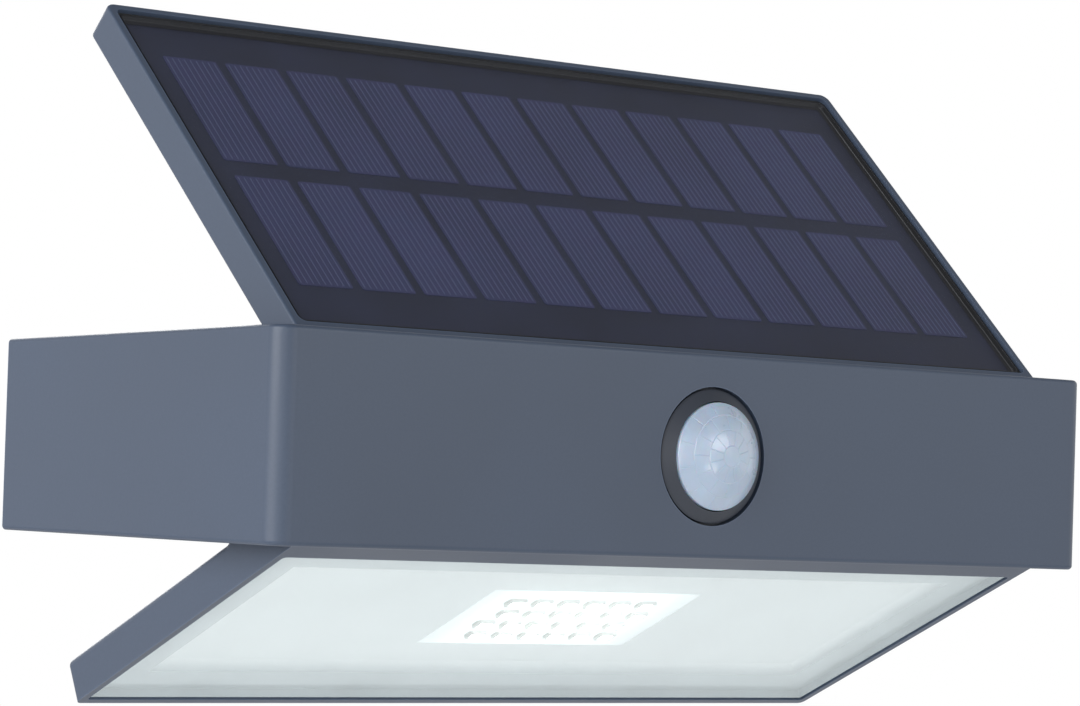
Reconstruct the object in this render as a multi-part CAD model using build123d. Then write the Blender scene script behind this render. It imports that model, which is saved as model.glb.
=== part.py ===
from build123d import *

import os
from math import cos, hypot, radians, sin, tan

# Wall-mounted solar lamp. A housing band holds a tilting solar panel in its top slot, a tilting
# light head in its bottom slot and a motion sensor in its front wall. A closed core behind the
# front wall keeps the battery and the electronics dry, and the core's back cover hooks on a steel
# bracket that is screwed to the wall.
#
# Millimetres. The wall is the plane y = 0 and the lamp's front faces -Y, +X is to the right of a
# person who looks at the lamp, +Z is up. The origin is the centre of the bracket's wall face.

# --- housing band -------------------------------------------------------------------------------
HOUSING_WIDTH = 190.0
HOUSING_DEPTH = 82.0
FRONT_HEIGHT = 36.2
REAR_HEIGHT = 33.8
BAND_WALL = 2.5
BAND_CORNER_R = 3.4
BAND_EDGE_R = 0.8
WALL_GAP = 0.4

# --- closed core inside the band ------------------------------------------------------------------
SLOT_DEPTH = 11.5  # free room behind the front wall, where both hinges lie
CORE_WALL = 2.0
CORE_TOP = 14.0
CORE_BOTTOM = -9.0
CORE_REAR_SPACE = 12.0  # from the core's rear rim to the wall
CORE_RIM_WIDTH = 2.0
CORE_RIM_DEPTH = 3.0

# --- fits -----------------------------------------------------------------------------------------
RUN_CLEARANCE = 0.05  # radial, a pin that turns in its bore
SEAT_CLEARANCE = 0.02  # radial, a pin that is pressed in and stays
LOOSE_CLEARANCE = 0.2  # round a piece that is dropped into its seat
LEAD_R = 0.6
LEAD_CLEARANCE = 0.3

# --- solar panel ----------------------------------------------------------------------------------
PANEL_WIDTH = 175.1
PANEL_LENGTH = 83.9  # from the band's top edge to the panel's top edge
PANEL_THICKNESS = 6.8
PANEL_SETBACK = 5.8  # band front to the panel's face, at the height of the band's top edge
PANEL_LEAN = 46.0  # degrees from upright
PANEL_PIVOT_DROP = 0.6  # pivot below the band's top edge, along the panel
PANEL_CORNER_R = 2.0
PANEL_EDGE_R = 0.5
PANEL_LIP = 1.5
PANEL_BACK_WALL = 2.0
PANEL_LEDGE = 4.0
GLASS_GAP = 0.75
GLASS_SETBACK = 0.5
GLASS_THICKNESS = 1.2
BACKSHEET_THICKNESS = 1.0
PANEL_SEAL_THICKNESS = 0.5
PANEL_SEAL_SETBACK = 0.3  # the seal's rim behind the glass's face
PANEL_SEAL_ROOM = 0.1  # from the seal's rim to the tray
CELL_COLUMNS = 12
CELL_ROWS = 2
CELL_WIDTH = 11.5
CELL_GAP = 1.94
CELL_ROW_GAP = 4.0
CELL_THICKNESS = 0.2
CELL_MARGIN_LOW = 10.6
CELL_MARGIN_HIGH = 9.1
BUS_WIDTH = 1.6
BUS_THICKNESS = 0.1
BUS_FROM_EDGE = 7.5
DIODE_BOARD = (22.0, 8.0, 0.8)
DIODE_BOARD_X = 50.0
DIODE_BOARD_S = 13.0

# --- light head -----------------------------------------------------------------------------------
HEAD_WIDTH = 174.8
HEAD_LENGTH = 68.6  # from the band's bottom edge to the head's far edge
HEAD_THICKNESS = 7.8
HEAD_SETBACK = 5.6
HEAD_DROP = 24.8  # degrees below level
HEAD_PIVOT_BACK = 3.4  # pivot behind the point where the lens face leaves the band
HEAD_PIVOT_RISE = 3.6
HEAD_NOSE_R = 2.9
HEAD_START = -0.5
HEAD_CORNER_R = 1.2
HEAD_HUB_REAR = 23.5  # behind the band's front, the upright back of the head's thick root
HEAD_HUB_TOP = -14.6
HEAD_HUB_FILLET = 2.0
HEAD_POCKET_R = 0.8
HEAD_LIP = 1.5
HEAD_ROOT_LIP = 4.4
HEAD_BACK_WALL = 2.0
HEAD_LEDGE = 1.8
LENS_GAP = 0.3
LENS_SETBACK = 0.3
LENS_THICKNESS = 1.8
LENS_GASKET_THICKNESS = 0.6
REFLECTOR_WALL = 0.7
REFLECTOR_SLOPE = 7.5
LED_BOARD = (49.0, 24.0, 1.0)
LED_BOARD_S = 36.5  # centre of the LED board, from the band's bottom edge
LED_COLUMNS = 6
LED_ROWS = 4
LED_PITCH = (6.2, 4.9)
LED_SIZE = (3.5, 2.8, 0.7)
LED_ROW_SHIFT = 0.9
SPREADER = (64.0, 34.0, 1.0)
SPREADER_SCREW_X = 28.5
SPREADER_SCREW_R = 0.85
SPREADER_SCREW_HEAD = (1.8, 0.25)  # radius and height
SPREADER_SCREW_END = 1.0  # into the casing's back wall

# --- hinges ---------------------------------------------------------------------------------------
PIN_R = 1.6
PIN_BORE_R = LEAD_R + LOOSE_CLEARANCE
PIN_IN_LEAF = 8.5
PIN_IN_BOSS = 2.6
BOSS_R = 2.75
BOSS_GAP = 0.8  # between the boss and the leaf that turns, where the washer lies
WASHER_THICKNESS = 0.6
WASHER_R = 2.6
LEAD_TURN = 1.3  # from the pin's end to the lead's turn into the duct
LEAD_BEND_R = 1.8  # inside the leaves, where the lead turns onto the hinge axis
DUCT_PAST_WALL = 1.2  # from the core's front wall to the duct's mouth

# --- motion sensor --------------------------------------------------------------------------------
SENSOR_RECESS_R = 12.3
SENSOR_RECESS_DEPTH = 2.7
SENSOR_BOSS_R = 13.8
SENSOR_BOSS_DEPTH = 3.6
SENSOR_BORE_R = 10.5
SENSOR_TUBE_WALL = 0.8
TUBE_CLEARANCE = 0.5  # between the sensor's tube and the panel's foot
BEZEL_FLANGE = 1.0
BEZEL_GROOVE = 0.45  # open ring between the bezel and the recess's wall
BEZEL_SETBACK = 0.35  # from the band's front to the bezel's outer edge
BEZEL_RISE = 1.1  # from the band's front out to the bezel's inner edge
DOME_STEP = 0.95  # from the bore's wall to the dome
DOME_PROUD = 1.5  # from the band's front out to the dome's rim
DOME_HEIGHT = 3.6  # from the rim to the tip
DOME_WALL = 0.9
DOME_FLANGE = 1.0
SENSOR_GASKET = 0.8
SENSOR_HOLDER_LENGTH = 5.6
SENSOR_BOARD = 1.2
SENSOR_CAN_R = 4.6
SENSOR_CAN_LENGTH = 4.2

# --- electronics ----------------------------------------------------------------------------------
BATTERY_R = 9.2
BATTERY_LENGTH = 65.2
BATTERY_X = -47.8
BATTERY_Y = -28.0
HOLDER_WALL = 1.2
HOLDER_HEIGHT = 8.0
CONTACT_ROOM = 2.0
CONTACT_THICKNESS = 0.4
BOARD_X = (5.0, 80.0)
BOARD_Y = (-60.0, -22.0)
BOARD_THICKNESS = 1.6
BOARD_STANDOFF = 5.0
BOARD_SCREW_INSET = 4.0
STANDOFF_R = 2.5
CONNECTOR = (6.0, 5.0, 5.0)
CONNECTOR_X = {"sensor": 15.0, "battery": 30.0, "light": 45.0, "solar": 60.0}
BUTTON_X = 55.0
BUTTON_Y = -45.0
BUTTON_R = 3.0
BUTTON_PROUD = 1.4
BUTTON_FLANGE_R = 4.4
BUTTON_FLANGE = 0.8
BUTTON_TRAVEL = 0.9
SWITCH = (6.0, 6.0)

# --- back cover, bracket and screws ---------------------------------------------------------------
COVER_THICKNESS = 2.4
COVER_GASKET = 0.6
COVER_SIDE_GAP = 0.3
COVER_SCREW_X = (-88.5, -62.0, 62.0, 88.5)
COVER_BOSS_R = 3.2
COVER_BOSS_LENGTH = 5.0
COVER_SCREW_END = 0.8  # from the screw hole's floor to the boss's end
SCREW_R = 1.25
SCREW_HEAD_R = 2.5
SCREW_HEAD = 1.6
BRACKET_WIDTH = 100.0
BRACKET_HEIGHT = 19.5
BRACKET_PLATE = 1.5
BRACKET_DEPTH = 8.0
BRACKET_CORNER_R = 2.0
WALL_SLOT_SPACING = 60.0
WALL_SLOT_LENGTH = 10.0
WALL_SLOT_R = 2.25
TAB_X = 40.0
TAB_WIDTH = 10.0
TAB_RISE = 3.2
COVER_RIB = 2.0
COVER_RIB_WIDTH = 110.0
RIB_GAP = 0.1
LOCK_SCREW_X = 40.0
LOCK_SCREW_R = 1.45
LOCK_HEAD_R = 3.0
LOCK_HEAD = 2.0

os.makedirs("parts", exist_ok=True)

# --- places worked out from the sizes --------------------------------------------------------------
HALF_WIDTH = HOUSING_WIDTH / 2
INNER_HALF = HALF_WIDTH - BAND_WALL
BAND_FRONT = -HOUSING_DEPTH
DOME_R = SENSOR_BORE_R - DOME_STEP
WALL_BACK = BAND_FRONT + BAND_WALL
CORE_FRONT = WALL_BACK + SLOT_DEPTH
CORE_INNER_FRONT = CORE_FRONT + CORE_WALL
CORE_REAR = -CORE_REAR_SPACE
CORE_FLOOR = CORE_BOTTOM + CORE_WALL
CORE_CEILING = CORE_TOP - CORE_WALL

lean = radians(PANEL_LEAN)
drop = radians(HEAD_DROP)
PANEL_FOOT = (BAND_FRONT + PANEL_SETBACK, FRONT_HEIGHT / 2)
HEAD_FOOT = (BAND_FRONT + HEAD_SETBACK, -FRONT_HEIGHT / 2)
# Each leaf has its own frame: x as the lamp's, y along the leaf away from the band, z through it.
PANEL_FRAME = Plane(
    origin=(0, *PANEL_FOOT), x_dir=(1, 0, 0), z_dir=(0, -cos(lean), sin(lean))
).location
HEAD_FRAME = Plane(origin=(0, *HEAD_FOOT), x_dir=(1, 0, 0), z_dir=(0, sin(drop), cos(drop))).location

PANEL_HALF = PANEL_WIDTH / 2
PANEL_PIVOT = (-PANEL_PIVOT_DROP, -PANEL_THICKNESS / 2)
HEAD_HALF = HEAD_WIDTH / 2
HEAD_PIVOT = (
    HEAD_PIVOT_BACK * cos(drop) - HEAD_PIVOT_RISE * sin(drop),
    HEAD_PIVOT_BACK * sin(drop) + HEAD_PIVOT_RISE * cos(drop),
)
# The same pivots in the lamp's own (y, z).
PANEL_AXIS = (
    PANEL_FOOT[0] + PANEL_PIVOT[0] * sin(lean) - PANEL_PIVOT[1] * cos(lean),
    PANEL_FOOT[1] + PANEL_PIVOT[0] * cos(lean) + PANEL_PIVOT[1] * sin(lean),
)
HEAD_AXIS = (HEAD_FOOT[0] + HEAD_PIVOT_BACK, HEAD_FOOT[1] + HEAD_PIVOT_RISE)


def span(x, y, z):
    """A box from its three (low, high) pairs."""
    middle = [(low + high) / 2 for low, high in (x, y, z)]
    return Pos(*middle) * Box(x[1] - x[0], y[1] - y[0], z[1] - z[0])


def rod(radius, start, end):
    """A cylinder of this radius from one point to another."""
    plane = Plane(origin=start, z_dir=Vector(*end) - Vector(*start))
    return extrude(plane * Circle(radius), amount=(Vector(*end) - Vector(*start)).length)


def rod_x(radius, x, y, z):
    return rod(radius, (x[0], y, z), (x[1], y, z))


def rod_y(radius, y, x=0.0, z=0.0):
    return rod(radius, (x, y[0], z), (x, y[1], z))


def rod_z(radius, z, x, y):
    return rod(radius, (x, y, z[0]), (x, y, z[1]))


def both(shape):
    """The shape and its twin on the lamp's other side."""
    return [shape, mirror(shape, about=Plane.YZ)]


def along_x(sketch, half):
    """A sketch of (y, z) points, extruded evenly to both sides."""
    return extrude(Plane.YZ * sketch, amount=half, both=True)


def bend_radii(points, largest):
    """For each corner the largest arc that its two runs leave room for, up to a limit."""
    radii = []
    for before, corner, after in zip(points, points[1:], points[2:]):
        first = Vector(*corner) - Vector(*before)
        second = Vector(*after) - Vector(*corner)
        turn = radians(first.get_angle(second))
        radii.append(min(largest, 0.45 * min(first.length, second.length) / tan(turn / 2)))
    return radii


def lead(points, largest=20.0, radius=LEAD_R):
    """A round insulated lead along straight runs joined by arcs."""
    path = FilletPolyline(*points, radius=bend_radii(points, largest))
    start = Plane(origin=points[0], z_dir=Vector(*points[1]) - Vector(*points[0]))
    return sweep(start * Circle(radius), path=path)


def lead_duct(points, largest=20.0):
    """The room that a piece leaves round a lead which passes through it."""
    return lead(points, largest, LEAD_R + LEAD_CLEARANCE)


def save(name, *shapes):
    solids = [solid for shape in shapes for solid in shape.solids()]
    shape = solids[0] if len(solids) == 1 else Compound(children=solids)
    shape.label = name
    export_step(shape, f"parts/{name}.step")


def cut(shape, *tools):
    for tool in tools:
        shape = shape - tool
    return shape


def join(shape, *others):
    for other in others:
        shape = shape + other
    return shape


# --- hinge pieces, the same for both leaves -------------------------------------------------------
BOSS_FACE = {"panel": PANEL_HALF + BOSS_GAP, "head": HEAD_HALF + BOSS_GAP}
HALF_OF = {"panel": PANEL_HALF, "head": HEAD_HALF}
AXIS_OF = {"panel": PANEL_AXIS, "head": HEAD_AXIS}


def pin_end(leaf):
    return BOSS_FACE[leaf] + PIN_IN_BOSS


def duct_end(leaf):
    """Where the lead's duct opens inside the core, just past its front wall."""
    inset = BOSS_R + LEAD_R / 2
    z = CORE_CEILING - inset if leaf == "panel" else CORE_FLOOR + inset - CORE_WALL / 2
    return (CORE_INNER_FRONT + DUCT_PAST_WALL, z)


def hinge_pins(leaf):
    y, z = AXIS_OF[leaf]
    x = (HALF_OF[leaf] - PIN_IN_LEAF, pin_end(leaf))
    return both(rod_x(PIN_R, x, y, z) - rod_x(PIN_BORE_R, x, y, z))


def hinge_washers(leaf):
    y, z = AXIS_OF[leaf]
    middle = (HALF_OF[leaf] + BOSS_FACE[leaf]) / 2
    x = (middle - WASHER_THICKNESS / 2, middle + WASHER_THICKNESS / 2)
    return both(rod_x(WASHER_R, x, y, z) - rod_x(PIN_R + RUN_CLEARANCE, x, y, z))


def hinge_boss(leaf):
    """The boss on the band's inner side with the lead's duct from it to the core."""
    y, z = AXIS_OF[leaf]
    x = (BOSS_FACE[leaf], INNER_HALF)
    end_y, end_z = duct_end(leaf)
    middle = ((y + end_y) / 2, (z + end_z) / 2)
    length = hypot(end_y - y, end_z - z)
    bridge = Pos(*middle) * Rot(0, 0, angle_of(end_y - y, end_z - z)) * Rectangle(length, 2 * BOSS_R)
    outline = Pos(y, z) * Circle(BOSS_R) + bridge
    return extrude(Plane.YZ.offset(x[0]) * outline, amount=x[1] - x[0])


def angle_of(dy, dz):
    return Vector(1, 0, 0).get_signed_angle(Vector(dy, dz, 0))


def pin_seat(leaf):
    return rod_x(PIN_R + SEAT_CLEARANCE, (BOSS_FACE[leaf], pin_end(leaf)), *AXIS_OF[leaf])


# --- housing --------------------------------------------------------------------------------------
def band_profile(front, rear):
    """The band's side outline between two depths, lower at the wall than at the front."""
    slope = (FRONT_HEIGHT - REAR_HEIGHT) / 2 / HOUSING_DEPTH

    def top(y):
        return FRONT_HEIGHT / 2 - slope * (y - BAND_FRONT)

    return make_face(Polyline(
        (front, -top(front)), (rear, -top(rear)), (rear, top(rear)), (front, top(front)), close=True,
    ))


def sensor_seat():
    """The round boss behind the front wall and the blind tube that takes the sensor's pieces."""
    boss = rod_y(SENSOR_BOSS_R, (WALL_BACK, BAND_FRONT + SENSOR_BOSS_DEPTH))
    tube = rod_y(SENSOR_BORE_R + SENSOR_TUBE_WALL, (WALL_BACK, CORE_INNER_FRONT))
    return boss + tube


def sensor_bores():
    recess_floor = BAND_FRONT + SENSOR_RECESS_DEPTH
    step = SENSOR_BOARD_BACK
    return [
        rod_y(SENSOR_RECESS_R, (BAND_FRONT, recess_floor)),
        rod_y(SENSOR_BORE_R, (recess_floor, step)),
        rod_y(SENSOR_BORE_R - 1.3, (step, CORE_FRONT - 0.6)),
        rod_y(LEAD_R + LEAD_CLEARANCE, (step, CORE_INNER_FRONT + 0.1), z=SENSOR_LEAD_Z),
    ]


LENS_BACK = BAND_FRONT + SENSOR_RECESS_DEPTH + DOME_FLANGE
SENSOR_HOLDER_FRONT = LENS_BACK + SENSOR_GASKET
SENSOR_BOARD_FRONT = SENSOR_HOLDER_FRONT + SENSOR_HOLDER_LENGTH
SENSOR_BOARD_BACK = SENSOR_BOARD_FRONT + SENSOR_BOARD
SENSOR_LEAD_Z = 3.0
BOARD_BOTTOM = CORE_FLOOR + BOARD_STANDOFF
BOARD_TOP = BOARD_BOTTOM + BOARD_THICKNESS
CONNECTOR_Y = (BOARD_Y[0] + 0.5, BOARD_Y[0] + 0.5 + CONNECTOR[1])
PLUG_Z = BOARD_TOP + CONNECTOR[2] / 2
LEAD_LANE = (CORE_INNER_FRONT + CONNECTOR_Y[0]) / 2 - 0.6
LEAD_STEP = 5.0  # along the lane, beside each connector
LANE_Z = {"panel": PLUG_Z + 3.2, "head": PLUG_Z - 4.4}
PLUG_OF = {"panel": "solar", "head": "light"}


def plug_points(name, side, z):
    """The last points of a lead that comes along the lane and turns into its connector."""
    x = CONNECTOR_X[name]
    return [(x + side * LEAD_STEP, LEAD_LANE, z), (x, LEAD_LANE, PLUG_Z), (x, CONNECTOR_Y[0], PLUG_Z)]


def hinge_lead_points(leaf):
    """The lead of a leaf, from its hinge axis through the duct to its connector."""
    y, z = AXIS_OF[leaf]
    turn_x = pin_end(leaf) + LEAD_TURN
    end_y, end_z = duct_end(leaf)
    lane_z = LANE_Z[leaf]
    return [
        (BOSS_FACE[leaf] + 0.1, y, z), (turn_x, y, z), (turn_x, end_y, end_z),
        (turn_x - 8, LEAD_LANE, (end_z + lane_z) / 2), *plug_points(PLUG_OF[leaf], 1, lane_z),
    ]


BOARD_SCREWS = [
    (x, y)
    for x in (BOARD_X[0] + BOARD_SCREW_INSET, BOARD_X[1] - BOARD_SCREW_INSET)
    for y in (BOARD_Y[0] + BOARD_SCREW_INSET, BOARD_Y[1] - BOARD_SCREW_INSET)
]
COVER_SCREWS = [
    (x, z)
    for x in COVER_SCREW_X
    for z in (CORE_CEILING - COVER_BOSS_R + 0.3, CORE_FLOOR + COVER_BOSS_R - 0.3)
]
BATTERY_Z = (CORE_CEILING + CORE_FLOOR) / 2


def make_housing():
    rear = -WALL_GAP
    band = along_x(band_profile(BAND_FRONT, rear), HALF_WIDTH)
    band = fillet(band.edges().filter_by(Axis.Z).group_by(Axis.Y)[0], BAND_CORNER_R)
    front_loops = band.faces().sort_by(Axis.Z)[0].edges() + band.faces().sort_by(Axis.Z)[-1].edges()
    band = fillet(front_loops.filter_by(lambda edge: edge.center().Y < rear - 1), BAND_EDGE_R)
    hollow = along_x(band_profile(WALL_BACK, rear + 1), INNER_HALF)
    hollow = fillet(
        hollow.edges().filter_by(Axis.Z).group_by(Axis.Y)[0], BAND_CORNER_R - BAND_WALL
    )
    shell = band - hollow
    x = (-INNER_HALF - 0.5, INNER_HALF + 0.5)
    core = span(x, (CORE_FRONT, CORE_REAR), (CORE_BOTTOM, CORE_TOP))
    rim_x = INNER_HALF - CORE_RIM_WIDTH
    cavity_y = (CORE_INNER_FRONT, CORE_REAR - CORE_RIM_DEPTH)
    cavity = span((-INNER_HALF, INNER_HALF), cavity_y, (CORE_FLOOR, CORE_CEILING))
    mouth = span((-rim_x, rim_x), (CORE_REAR - CORE_RIM_DEPTH, CORE_REAR), (CORE_FLOOR, CORE_CEILING))
    body = join(shell, core, sensor_seat()) - cavity - mouth
    for leaf in AXIS_OF:
        for boss in both(hinge_boss(leaf)):
            body += boss
    for x, z in COVER_SCREWS:
        body += rod_y(COVER_BOSS_R, (CORE_REAR - COVER_BOSS_LENGTH, CORE_REAR), x, z)
    for x, y in BOARD_SCREWS:
        body += rod_z(STANDOFF_R, (CORE_FLOOR, BOARD_BOTTOM), x, y)
    for leaf in AXIS_OF:
        body = cut(body, *both(pin_seat(leaf)), lead_duct(hinge_lead_points(leaf)))
    body = cut(body, *sensor_bores())
    for x, z in COVER_SCREWS:
        body -= rod_y(SCREW_R, (CORE_REAR - COVER_BOSS_LENGTH + COVER_SCREW_END, CORE_REAR), x, z)
    for x, y in BOARD_SCREWS:
        body -= rod_z(SCREW_R - 0.2, (CORE_FLOOR + 0.8, BOARD_BOTTOM), x, y)
    body -= rod_z(BUTTON_R + RUN_CLEARANCE, (CORE_BOTTOM, CORE_FLOOR), BUTTON_X, BUTTON_Y)
    return body


save("housing", make_housing())


# --- motion sensor --------------------------------------------------------------------------------
def make_sensor():
    lens_front = BAND_FRONT + SENSOR_RECESS_DEPTH
    fit_r = SENSOR_BORE_R - LOOSE_CLEARANCE / 2
    # The bezel is a shallow cone that rises from the recess to the dome's rim.
    bore = DOME_R + LOOSE_CLEARANCE
    edge = SENSOR_RECESS_R - SEAT_CLEARANCE
    top_edge = SENSOR_RECESS_R - BEZEL_GROOVE
    bezel = make_face(Polyline(
        (bore, lens_front), (edge, lens_front), (edge, lens_front - BEZEL_FLANGE),
        (top_edge, lens_front - BEZEL_FLANGE), (top_edge, BAND_FRONT + BEZEL_SETBACK),
        (bore, BAND_FRONT - BEZEL_RISE), close=True,
    ))
    save("sensor_bezel", revolve(bezel, Axis.Y))

    # The dome is a spherical cap on a short tube: its radius follows from its base and its height.
    dome_rim = BAND_FRONT - DOME_PROUD

    def cap(base_r, height):
        radius = (base_r**2 + height**2) / (2 * height)
        ball = Pos(0, dome_rim - height + radius, 0) * Sphere(radius)
        return ball - span((-radius, radius), (dome_rim, dome_rim + 2 * radius), (-radius, radius))

    tube = rod_y(DOME_R, (dome_rim, lens_front))
    flange = rod_y(fit_r, (lens_front, LENS_BACK))
    hollow = DOME_R - DOME_WALL
    inner = join(cap(hollow, DOME_HEIGHT - DOME_WALL), rod_y(hollow, (dome_rim, LENS_BACK)))
    save("sensor_lens", cut(join(cap(DOME_R, DOME_HEIGHT), tube, flange), inner))

    gasket_y = (LENS_BACK, SENSOR_HOLDER_FRONT)
    save("sensor_gasket", rod_y(fit_r, gasket_y) - rod_y(SENSOR_BORE_R - 1.6, gasket_y))
    holder_y = (SENSOR_HOLDER_FRONT, SENSOR_BOARD_FRONT)
    save("sensor_holder", rod_y(fit_r, holder_y) - rod_y(SENSOR_BORE_R - 1.6, holder_y))
    save("sensor_board", rod_y(fit_r, (SENSOR_BOARD_FRONT, SENSOR_BOARD_BACK)))
    can_front = SENSOR_BOARD_FRONT - SENSOR_CAN_LENGTH
    can = rod_y(SENSOR_CAN_R, (can_front, SENSOR_BOARD_FRONT))
    can += rod_y(SENSOR_CAN_R + 0.5, (SENSOR_BOARD_FRONT - 0.5, SENSOR_BOARD_FRONT))
    save("sensor_can", can - span((-2.0, 2.0), (can_front, can_front + 0.3), (-1.5, 1.5)))


make_sensor()


# --- battery --------------------------------------------------------------------------------------
def make_battery():
    x = (BATTERY_X - BATTERY_LENGTH / 2, BATTERY_X + BATTERY_LENGTH / 2)
    cell = rod_x(BATTERY_R, (x[0], x[1] - 1.0), BATTERY_Y, BATTERY_Z)
    cell = fillet(cell.edges().filter_by(GeomType.CIRCLE), 0.8)
    save("battery_cell", cell + rod_x(3.0, (x[1] - 1.0, x[1]), BATTERY_Y, BATTERY_Z))

    room = BATTERY_R + LOOSE_CLEARANCE
    inner_x = (x[0] - CONTACT_ROOM, x[1] + CONTACT_ROOM)
    outer_x = (inner_x[0] - HOLDER_WALL, inner_x[1] + HOLDER_WALL)
    z = (CORE_FLOOR, CORE_FLOOR + HOLDER_HEIGHT)
    outer = span(outer_x, (BATTERY_Y - room - HOLDER_WALL, BATTERY_Y + room + HOLDER_WALL), z)
    save("battery_holder", outer - span(inner_x, (BATTERY_Y - room, BATTERY_Y + room), z))

    # Each contact is a plate on the holder's end wall with a sprung dimple that meets the cell.
    plate_z = (CORE_FLOOR + 0.5, CORE_FLOOR + HOLDER_HEIGHT + 3.0)
    contacts = []
    for end_x, side in ((x[0], -1), (x[1], 1)):
        wall_x = end_x + side * CONTACT_ROOM
        plate_x = sorted((wall_x, wall_x - side * CONTACT_THICKNESS))
        plate = span(plate_x, (BATTERY_Y - 4, BATTERY_Y + 4), plate_z)
        dimple_x = sorted((wall_x - side * CONTACT_THICKNESS, end_x))
        contacts.append(plate + rod_x(1.8, dimple_x, BATTERY_Y, BATTERY_Z))
    save("battery_contacts", *contacts)


make_battery()


# --- control board --------------------------------------------------------------------------------
def make_control_board():
    board = span(BOARD_X, BOARD_Y, (BOARD_BOTTOM, BOARD_TOP))
    hole_z = (BOARD_BOTTOM, BOARD_TOP)
    screws = []
    for x, y in BOARD_SCREWS:
        board -= rod_z(SCREW_R, hole_z, x, y)
        head = rod_z(SCREW_HEAD_R - 0.4, (BOARD_TOP, BOARD_TOP + 1.2), x, y)
        screws.append(head + rod_z(SCREW_R - 0.2 - SEAT_CLEARANCE, (CORE_FLOOR + 1.5, BOARD_TOP), x, y))
    save("control_board", board)
    save("control_board_screws", *screws)

    top = BOARD_TOP
    chips = [
        span((20, 29), (-46, -39), (top, top + 1.5)),
        span((38, 43), (-44, -39), (top, top + 1.2)),
        fillet(span((62, 71), (-42, -33), (top, top + 4.5)).edges().filter_by(Axis.Z), 1.5),
        rod_z(4.0, (top, top + 9.0), 22, -31),
        span((46, 50), (-34, -31), (top, top + 1.2)),
    ]
    save("control_board_parts", *chips)
    width, depth, height = CONNECTOR
    connector_z = (top, top + height)
    connectors = [
        span((x - width / 2, x + width / 2), CONNECTOR_Y, connector_z) for x in CONNECTOR_X.values()
    ]
    save("lead_connectors", *connectors)

    switch_z = (BUTTON_TOP + BUTTON_TRAVEL + 0.1, BOARD_BOTTOM)
    switch = span(
        (BUTTON_X - SWITCH[0] / 2, BUTTON_X + SWITCH[0] / 2),
        (BUTTON_Y - SWITCH[1] / 2, BUTTON_Y + SWITCH[1] / 2),
        (switch_z[0] + 0.6, switch_z[1]),
    )
    save("mode_switch", switch + rod_z(1.7, (switch_z[0], switch_z[0] + 0.6), BUTTON_X, BUTTON_Y))


FLANGE_BOTTOM = CORE_FLOOR + 0.05
BUTTON_TOP = FLANGE_BOTTOM + BUTTON_FLANGE
make_control_board()


def make_button():
    stem = rod_z(BUTTON_R, (CORE_BOTTOM - BUTTON_PROUD, FLANGE_BOTTOM), BUTTON_X, BUTTON_Y)
    stem = fillet(stem.edges().sort_by(Axis.Z)[0], 0.6)
    return stem + rod_z(BUTTON_FLANGE_R, (FLANGE_BOTTOM, BUTTON_TOP), BUTTON_X, BUTTON_Y)


save("mode_button", make_button())


# --- back cover, its gasket and its screws --------------------------------------------------------
COVER_FRONT = CORE_REAR + COVER_GASKET
COVER_BACK = COVER_FRONT + COVER_THICKNESS
BRACKET_TOP = BRACKET_HEIGHT / 2
RIB_LOW = BRACKET_TOP + RIB_GAP


def make_back_cover():
    half = INNER_HALF - COVER_SIDE_GAP
    y = (COVER_FRONT, COVER_BACK)
    plate = span((-half, half), y, (CORE_BOTTOM, CORE_TOP))
    rib_x = (-COVER_RIB_WIDTH / 2, COVER_RIB_WIDTH / 2)
    rib_y = (COVER_FRONT, -WALL_GAP - RIB_GAP)
    plate += span(rib_x, rib_y, (RIB_LOW, RIB_LOW + COVER_RIB))
    plate += span(rib_x, rib_y, (-RIB_LOW - COVER_RIB, -RIB_LOW))
    plate += span(rib_x, y, (-RIB_LOW - COVER_RIB, CORE_BOTTOM))
    slot_y = (-TAB_FRONT - 0.3, -TAB_FRONT + BRACKET_PLATE + 0.3)
    for x in (-TAB_X, TAB_X):
        slot_x = (x - TAB_WIDTH / 2 - 0.5, x + TAB_WIDTH / 2 + 0.5)
        plate -= span(slot_x, slot_y, (RIB_LOW, RIB_LOW + COVER_RIB))
    for x in (-LOCK_SCREW_X, LOCK_SCREW_X):
        plate -= rod_z(LOCK_SCREW_R + LOOSE_CLEARANCE, (-RIB_LOW - COVER_RIB, -RIB_LOW), x, LOCK_SCREW_Y)
    for x, z in COVER_SCREWS:
        plate -= rod_y(SCREW_R + LOOSE_CLEARANCE, y, x, z)
    return plate


def make_cover_gasket():
    half = INNER_HALF - COVER_SIDE_GAP
    y = (CORE_REAR, COVER_FRONT)
    width = CORE_RIM_WIDTH - COVER_SIDE_GAP
    outer = span((-half, half), y, (CORE_BOTTOM + 0.1, CORE_TOP - 0.1))
    inner = span((-half + width, half - width), y, (CORE_FLOOR, CORE_CEILING))
    gasket = outer - inner
    for x, z in COVER_SCREWS:
        gasket += rod_y(COVER_BOSS_R, y, x, z)
        gasket -= rod_y(SCREW_R + LOOSE_CLEARANCE, y, x, z)
    return gasket


def make_cover_screw(x, z):
    shank_end = CORE_REAR - COVER_BOSS_LENGTH + 2 * COVER_SCREW_END
    shank = rod_y(SCREW_R - SEAT_CLEARANCE, (shank_end, COVER_BACK), x, z)
    head = rod_y(SCREW_HEAD_R, (COVER_BACK, COVER_BACK + SCREW_HEAD), x, z)
    head = fillet(head.edges().sort_by(Axis.Y)[-1], 0.5)
    slot = SCREW_HEAD_R * 0.55
    for half_x, half_z in ((slot, 0.35), (0.35, slot)):
        drive_y = (COVER_BACK + SCREW_HEAD - 0.8, COVER_BACK + SCREW_HEAD)
        head -= span((x - half_x, x + half_x), drive_y, (z - half_z, z + half_z))
    return shank + head


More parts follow.
